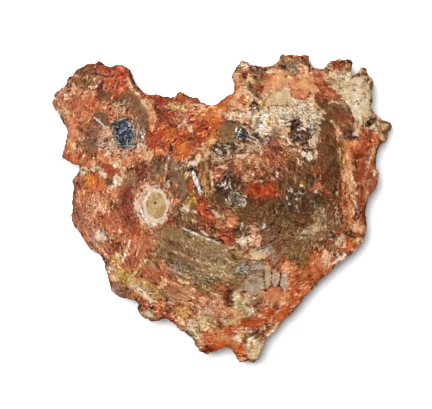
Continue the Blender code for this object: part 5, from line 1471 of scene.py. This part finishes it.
def stone_material():
    """Polished on the sawn faces, dry and rough on the bark wall."""
    n = Nodes("petrified wood")
    paint = n.attribute("stone_colour")
    bark = n.attribute("weathered", "Fac")
    live = n.ramp(n.attribute("calm", "Fac"), 0.0, 1.0, 1.0, CALM_LEFT)
    fine = n.noise(GRIT_SIZE, 2.0, 0.9)
    busy = n.ramp(n.noise(BUSY_SIZE, 2.0), *BUSY)
    changes = [n.math("MULTIPLY", n.ramp(n.ring_grain(*size), *ramp), busy)
               for size, ramp in (LIGHT_STRAND, DARK_STRAND)]
    changes += [n.math("MULTIPLY", n.line(n.ring_grain(*size), width), n.ramp(n.noise(patch, 2.0), *ramp))
                for size, width, patch, ramp in (CRACK, THREAD)]
    change = n.math("MULTIPLY", n.total(*changes, n.ramp(fine, *GRIT)), live)
    colour = n.gamma(n.blend(1.0, n.gamma(paint, 1 / GAMMA), n.grey(change), "ADD"), GAMMA)
    pit = n.math("MULTIPLY", n.ramp(n.cells(PIT_SIZE), *PIT_EDGE),
                 n.ramp(n.noise(PIT_PATCH_SIZE, 2.0), *PIT_PATCH))
    pit = n.math("MULTIPLY", pit, n.math("MULTIPLY", live, PIT_STRENGTH))
    n.link(n.blend(pit, colour, PIT_COLOUR), n.shader.inputs["Base Color"])
    polish = n.ramp(n.noise(POLISH_SIZE), *POLISH)
    n.link(n.math("ADD", polish, n.math("MULTIPLY", bark, BARK_DULLER)), n.shader.inputs["Roughness"])
    n.shader.inputs["Specular IOR Level"].default_value = STONE_SPECULAR
    coarse_normal = n.bump(fine, n.ramp(bark, *COARSE_BUMP), COARSE_DEPTH)
    grain_normal = n.bump(n.noise(FINE_SIZE, 2.0), n.ramp(bark, *FINE_BUMP), FINE_DEPTH, coarse_normal)
    n.link(grain_normal, n.shader.inputs["Normal"])
    return n.material


def crystal_material(name, roughness):
    """Quartz whose colour changes from point to point, with faint growth lines."""
    n = Nodes(name)
    cloud = n.ramp(n.noise(CLOUD_SIZE), *CLOUD)
    n.link(n.blend(1.0, n.attribute("tint"), n.grey(cloud), "MULTIPLY"), n.shader.inputs["Base Color"])
    frost = n.ramp(n.noise(FROST_SIZE, 2.0), 0.3, 0.7, roughness, roughness + FROST)
    n.link(frost, n.shader.inputs["Roughness"])
    growth_lines = n.noise(GROWTH_SIZE, 1.0, 0.5, GROWTH_STRETCH)
    n.link(n.bump(growth_lines, GROWTH_STRENGTH, GROWTH_DEPTH), n.shader.inputs["Normal"])
    n.shader.inputs["Specular IOR Level"].default_value = QUARTZ_SPECULAR
    return n.material


def floor_material():
    """Matt paper, almost white, and hardly uneven."""
    n = Nodes("studio floor")
    tone = n.ramp(n.noise(PAPER_SIZE, 2.0), 0.0, 1.0, *PAPER_TONES)
    n.link(n.grey(tone), n.shader.inputs["Base Color"])
    n.shader.inputs["Roughness"].default_value = PAPER_ROUGHNESS
    n.shader.inputs["Specular IOR Level"].default_value = 0.0
    return n.material


# ---------------------------------------------------------------- the stone
SOAK_ROUNDS = 6
LUMINANCE = np.array((0.22, 0.68, 0.10))
SHARP_ANGLE = 50  # degrees
WALL_SLOPE = (0.05, 0.3)  # how far a surface leans before it counts as bark, and is fully that
HOLLOW_ZONES = [((123.5, 134), 18), ((242, 135), 9), ((236.5, 198), 12), ((94, 155.5), 4), ((294.5, 126), 9),
                ((308.5, 109), 4), ((366.5, 81), 4), ((357, 163), 8.5), ((254.5, 106), 5), ((216.5, 180), 4)]
BARK_SLANT = (0.9, -0.7)  # how the stains of the wall shift with each mm of depth
BARK_STAINS = [("umber", 12, 0.5), ("sand", 8, 0.28), ("maroon", 6, 0.3), ("khaki", 9, 0.25),
               ("black", 4, 0.16)]  # paint, size in mm and share
BARK_DEPTHS, BARK_STRENGTH = (0.2, 3), 0.8  # mm below the face where the stains start, and are full
STAIN_SPREAD, STAIN_EDGE = 0.36, 0.1
LEAST_BARK = 0.02  # the share of bark from which a point is stained


def new_piece(name, mesh, material):
    item = bpy.data.objects.new(name, mesh)
    bpy.context.scene.collection.objects.link(item)
    mesh.materials.append(material)
    return item


def set_attribute(mesh, name, kind, values):
    """Keeps a number or a colour for each of a mesh's points."""
    attribute = mesh.attributes.new(name, kind, "POINT")
    field = "color" if kind == "FLOAT_COLOR" else "value"
    attribute.data.foreach_set(field, np.asarray(values, np.float32).ravel())


def vertex_vectors(mesh, field):
    """The places ("co") or the normals ("normal") of a mesh's points."""
    values = np.zeros(len(mesh.vertices) * 3)
    mesh.vertices.foreach_get(field, values)
    return values.reshape(-1, 3)


def distance_to(rim, x, y):
    """Each point's distance on the sheet to the nearest of the rim's points."""
    best = np.full(len(x), np.inf)
    for rim_x, rim_y in zip(*rim):
        best = np.minimum(best, (x - rim_x) ** 2 + (y - rim_y) ** 2)
    return np.sqrt(best)


def soak(colour, mesh, rounds):
    """Spreads the hue of every stain over its neighbours, while its light and dark stay sharp."""
    ends = np.zeros(2 * len(mesh.edges), np.int64)
    mesh.edges.foreach_get("vertices", ends)
    first, second = ends.reshape(-1, 2).T
    start, end = np.append(first, second), np.append(second, first)
    share = 1.0 / (1 + np.bincount(start, minlength=len(colour)))
    wide = colour.copy()
    for _ in range(rounds):
        bands = [(band + np.bincount(start, band[end], len(colour))) * share for band in wide.T]
        wide = np.stack(bands, axis=1)
    light = (colour @ LUMINANCE) ** (1 / GAMMA) - (wide @ LUMINANCE) ** (1 / GAMMA)
    return np.clip(wide ** (1 / GAMMA) + light[:, None], 0, 1) ** GAMMA


def wall_share(mesh, x, y):
    """1 on the bark wall, 0 on the sawn faces and in the hollows."""
    upright = 1.0 - np.abs(vertex_vectors(mesh, "normal")[:, 2])
    share = smooth(*WALL_SLOPE, upright)
    for centre, radius in HOLLOW_ZONES:
        share[np.hypot(x - centre[0], y - centre[1]) < radius] = 0.0
    return share


def paint_wall(stone, on_wall, depth):
    """Bark: the face's own colours carried down, under browns, tans and dark furrows."""
    where = np.nonzero(on_wall > LEAST_BARK)[0]
    stone.layer += LAYER_STEP
    x, y, z = stone.x[where], stone.y[where], depth[where]
    u, v = x + BARK_SLANT[0] * z, y + BARK_SLANT[1] * z
    for name, size, share in BARK_STAINS:
        stone.layer += LAYER_STEP
        t = 0.5 + STAIN_SPREAD * fractal(u, v, size, stone.layer, 4, 0.7)
        stain = smooth(1 - share - STAIN_EDGE, 1 - share + STAIN_EDGE, t)
        stone.mix(where, stain * on_wall[where] * smooth(*BARK_DEPTHS, z) * BARK_STRENGTH, name)


def build_stone():
    """The whole slice, painted and dressed, in place of the model's."""
    mesh, rim = stone_mesh()
    x, y, depth = to_sheet(vertex_vectors(mesh, "co"))
    stone = paint_stone(x, y, distance_to(to_sheet(rim)[:2], x, y))
    on_wall = wall_share(mesh, x, y)
    paint_wall(stone, on_wall, depth)
    stained = soak(stone.colour, mesh, SOAK_ROUNDS)
    opaque = np.ones((len(x), 1))
    set_attribute(mesh, "stone_colour", "FLOAT_COLOR", np.concatenate([stained, opaque], axis=1))
    set_attribute(mesh, "weathered", "FLOAT", on_wall)
    set_attribute(mesh, "calm", "FLOAT", stone.calm)
    mesh.shade_smooth()
    mesh.set_sharp_from_angle(angle=math.radians(SHARP_ANGLE))
    piece = new_piece("stone_slice", mesh, stone_material())
    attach(piece, "root")
    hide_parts("wood_slice")


# ---------------------------------------------------------------- the crystals
CRYSTAL_WELD = 1e-7  # metres
CRYSTAL_TAPER, CRYSTAL_TIP = 0.92, 0.42  # a crystal's top radius, and the share of it that is its tip
CRYSTAL_LENGTHS = (2.0, 3.6)  # in its own radii
CRYSTAL_LEAN, CRYSTAL_RISE = 0.6, 0.8  # how far crystals lean by chance, and turn upward
CRYSTAL_SINK = 0.5  # radii that a foot is set into the crust
LEAST_RISE = 0.2  # keeps a flat-lying crystal's room from growing without end
CRUST_BOTTOM, CRUST_TOP = 0.2, 0.3  # mm over the crust's lowest point, and over its highest
POCKET, POCKET_RADII = (123.5, 134), (11.5, 15.5)  # the big hollow, on the sheet
NEEDLE_COUNT, NEEDLE_RADIUS = 80, (0.35, 0.6)  # short needles, and mm
NEEDLE_CORNERS = ((-0.87, -0.5), (0.87, -0.5), (0.0, 1.0))  # its section, sideways and up, in radii
NEEDLE_PLACES = (0.75, 1.4)  # how far from the pocket's middle the short needles stand, in its radii
NEEDLE_BEND, NEEDLE_STEP = 0.5, (0.9, 2.0)  # radians and mm from one point of a needle to the next
LONG_NEEDLE_DEPTHS, SHORT_NEEDLE_DEPTHS = (-0.5, -0.2), (-0.4, -0.1)  # mm; all of them above the face

# Each hollow's dark tints and its lighter ones, as linear colours. The lighter ones are paler quartz, and in
# the pocket and the upper hollow they are also painted glints on the facets.
NAVY = (
    [(0.004, 0.005, 0.008), (0.010, 0.013, 0.020), (0.022, 0.026, 0.032), (0.05, 0.048, 0.04)],
    [(0.055, 0.066, 0.102), (0.09, 0.103, 0.147), (0.035, 0.042, 0.066), (0.15, 0.165, 0.20)],
)
MILKY = (
    [(0.015, 0.013, 0.012), (0.03, 0.025, 0.02), (0.008, 0.008, 0.008), (0.06, 0.05, 0.04)],
    [(0.72, 0.69, 0.63), (0.5, 0.47, 0.42), (0.03, 0.03, 0.03)],
)
OLIVE = (
    [(0.06, 0.035, 0.016), (0.09, 0.055, 0.026), (0.03, 0.018, 0.009), (0.3, 0.24, 0.17)],
    [(0.12, 0.08, 0.045), (0.05, 0.03, 0.016), (0.38, 0.32, 0.24)],
)
PALE = [(0.52, 0.42, 0.31), (0.36, 0.27, 0.18), (0.56, 0.48, 0.38), (0.42, 0.25, 0.15)]  # the needles'


def hexagonal_crystal(made, foot, direction, radius, length, tint, layer):
    """A six-sided point grown from foot along direction, in one tint."""
    turn = Vector((0, 0, 1)).rotation_difference(direction).to_matrix().to_4x4()
    tip = CRYSTAL_TIP * length
    body = bmesh.ops.create_cone(
        made, cap_ends=True, segments=6, radius1=radius, radius2=CRYSTAL_TAPER * radius, depth=length - tip,
        matrix=Matrix.Translation(foot) @ turn @ Matrix.Translation((0, 0, (length - tip) / 2)),
    )
    verts = body["verts"]
    faces = {f for v in verts for f in v.link_faces}
    top = max(faces, key=lambda f: (f.calc_center_median() - foot).dot(direction))
    poked = bmesh.ops.poke(made, faces=[top], offset=tip)
    for vert in list(verts) + poked["verts"]:
        vert[layer] = (*tint, 1.0)


def needle(made, path, radius, tint, layer):
    """A thin three-sided thread through the path's points, drawn out to a point at both ends."""
    rings = []
    for k, place in enumerate(path[1:-1], 1):
        ahead = (path[k + 1] - path[k - 1]).normalized()
        side = ahead.cross(Vector((0, 0, 1))).normalized()
        up = side.cross(ahead)
        corners = [side * a + up * b for a, b in NEEDLE_CORNERS]
        rings.append([made.verts.new(place + corner * radius) for corner in corners])
    first, last = made.verts.new(path[0]), made.verts.new(path[-1])
    for k in range(3):
        m = (k + 1) % 3
        made.faces.new((first, rings[0][k], rings[0][m]))
        made.faces.new((last, rings[-1][m], rings[-1][k]))
        for near, far in zip(rings, rings[1:]):
            made.faces.new((near[k], far[k], far[m], near[m]))
    for vert in (first, last, *(v for ring in rings for v in ring)):
        vert[layer] = (*tint, 1.0)


def short_needle_path(chance):
    """Four points of a bent thread that starts near the pocket's rim."""
    angle = chance.uniform(0, 2 * math.pi)
    out = chance.uniform(*NEEDLE_PLACES)
    x = POCKET[0] + out * POCKET_RADII[0] * math.cos(angle)
    y = POCKET[1] + out * POCKET_RADII[1] * math.sin(angle)
    heading, bend = chance.uniform(0, 2 * math.pi), chance.uniform(-NEEDLE_BEND, NEEDLE_BEND)
    step = chance.uniform(*NEEDLE_STEP)
    points = []
    for _ in range(4):
        points.append(from_sheet(x, y, chance.uniform(*SHORT_NEEDLE_DEPTHS)))
        x, y = x + step * math.cos(heading), y + step * math.sin(heading)
        heading += bend
    return points


def grow_needles(made, layer, chance):
    """Threads of pale mineral over the pocket's mouth: long ones, and short ones by chance."""
    paths = [[from_sheet(x, y, chance.uniform(*LONG_NEEDLE_DEPTHS)) for x, y in points] for points in NEEDLES]
    paths += [short_needle_path(chance) for _ in range(NEEDLE_COUNT)]
    for path in paths:
        if len(path) < 3:
            path.insert(1, (path[0] + path[1]) / 2)
        needle(made, path, chance.uniform(*NEEDLE_RADIUS) * MM, chance.choice(PALE), layer)


def build_crystals(node, count, radii, tints, glint_and_pale_oval, seed, roughness, extra=None):
    """A hollow's crust: the model's own points, and many finer ones grown over them.

    The oval given after the tints is a sheet point and two radii; the crystals inside that oval take the
    lighter tints, which are paler quartz, and in the pocket and the upper hollow also painted glints.
    """
    chance = random.Random(seed)
    made = bmesh.new()
    made.from_mesh(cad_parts[node].data)
    bmesh.ops.remove_doubles(made, verts=made.verts, dist=CRYSTAL_WELD)
    solid = BVHTree.FromBMesh(made)
    layer = made.verts.layers.float_color.new("tint")
    dark, bright = tints
    for vert in made.verts:
        vert[layer] = (*chance.choice(dark), 1.0)
    low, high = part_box(node)
    middle = from_sheet(glint_and_pale_oval[0], glint_and_pale_oval[1])
    grown = 0
    while grown < count:
        spot = Vector((chance.uniform(low.x, high.x), chance.uniform(low.y, high.y), high.z + RAY_LIFT))
        hit, normal, _, _ = solid.ray_cast(spot, Vector((0, 0, -1)))
        lean = Vector([chance.uniform(-CRYSTAL_LEAN, CRYSTAL_LEAN) for _ in range(3)])
        radius = chance.uniform(*radii) * MM
        length = radius * chance.uniform(*CRYSTAL_LENGTHS)
        away = math.hypot((spot.x - middle.x) / glint_and_pale_oval[2], (spot.y - middle.y) / glint_and_pale_oval[3]) / MM
        tint = chance.choice(bright if away < 1 else dark)
        if hit is None or hit.z < low.z + CRUST_BOTTOM * MM:
            continue
        direction = (normal + lean + Vector((0, 0, CRYSTAL_RISE))).normalized()
        room = (high.z + CRUST_TOP * MM - hit.z) / max(direction.z, LEAST_RISE)
        length = max(min(length, room), radius)
        foot = hit - direction * radius * CRYSTAL_SINK
        hexagonal_crystal(made, foot, direction, radius, length, tint, layer)
        grown += 1
    if extra:
        extra(made, layer, chance)
    mesh = bpy.data.meshes.new(node)
    made.to_mesh(mesh)
    made.free()
    piece = new_piece("fine_" + node, mesh, crystal_material(node, roughness))
    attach(piece, "root")
    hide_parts(node)


# ---------------------------------------------------------------- camera, floor and light
VIEW_HEIGHT = 1.5  # metres from the camera to the polished face
SENSOR = 36.0
FLOOR_SIZE, FLOOR_GAP = 12.0, 0.3  # metres to either side, and mm under the slice
# Place and size in metres, and power in watts.
KEY_LIGHT = ((-0.52, 0.5, 1.5), 1.3, 58)
FILL_LIGHT = ((0.3, -0.2, 2.4), 2.0, 8)
WORLD_STRENGTH = 0.3


def set_camera():
    """Straight above, so that one pixel spans one millimetre of the polished face."""
    data = bpy.data.cameras.new("camera")
    data.sensor_width = SENSOR
    data.lens = SENSOR * VIEW_HEIGHT / (PHOTO_WIDTH * MM)
    camera = bpy.data.objects.new("camera", data)
    bpy.context.scene.collection.objects.link(camera)
    camera.location = from_sheet(PHOTO_WIDTH / 2, PHOTO_HEIGHT / 2) + Vector((0, 0, VIEW_HEIGHT))
    bpy.context.scene.camera = camera


def add_area_light(name, place, size, power):
    """A square white light that faces the frame's origin."""
    data = bpy.data.lights.new(name, "AREA")
    data.shape = "SQUARE"
    data.size = size
    data.energy = power
    light = bpy.data.objects.new(name, data)
    light.location = place
    light.rotation_euler = (-Vector(place)).to_track_quat("-Z", "Y").to_euler()
    bpy.context.scene.collection.objects.link(light)


def set_stage():
    """A plain pale floor, two soft lights and an even white sky."""
    made = bmesh.new()
    bmesh.ops.create_grid(made, x_segments=1, y_segments=1, size=FLOOR_SIZE)
    mesh = bpy.data.meshes.new("floor")
    made.to_mesh(mesh)
    made.free()
    floor = new_piece("floor", mesh, floor_material())
    floor.location.z = SLICE_LOW.z - FLOOR_GAP * MM
    add_area_light("key", *KEY_LIGHT)
    add_area_light("fill", *FILL_LIGHT)
    world = bpy.data.worlds.new("studio")
    world.use_nodes = True
    background = world.node_tree.nodes["Background"]
    background.inputs["Color"].default_value = (1, 1, 1, 1)
    background.inputs["Strength"].default_value = WORLD_STRENGTH
    bpy.context.scene.world = world
    bpy.context.scene.view_settings.view_transform = "Standard"


set_camera()
set_stage()
build_stone()
# The lighter crystals in the pocket's and the upper hollow's ovals are partly painted glints; the middle
# hollow's are pale quartz.
build_crystals("pocket_crystals", 100, (1.0, 2.1), NAVY, (125.5, 130, 7, 10), 3, 0.12,
               grow_needles)
build_crystals("upper_vug_crystals", 40, (0.35, 0.8), MILKY, (239, 133, 2.6, 6), 4, 0.15)
build_crystals("middle_vug_crystals", 60, (0.35, 0.8), OLIVE, (240, 202, 4, 4), 5, 0.35)
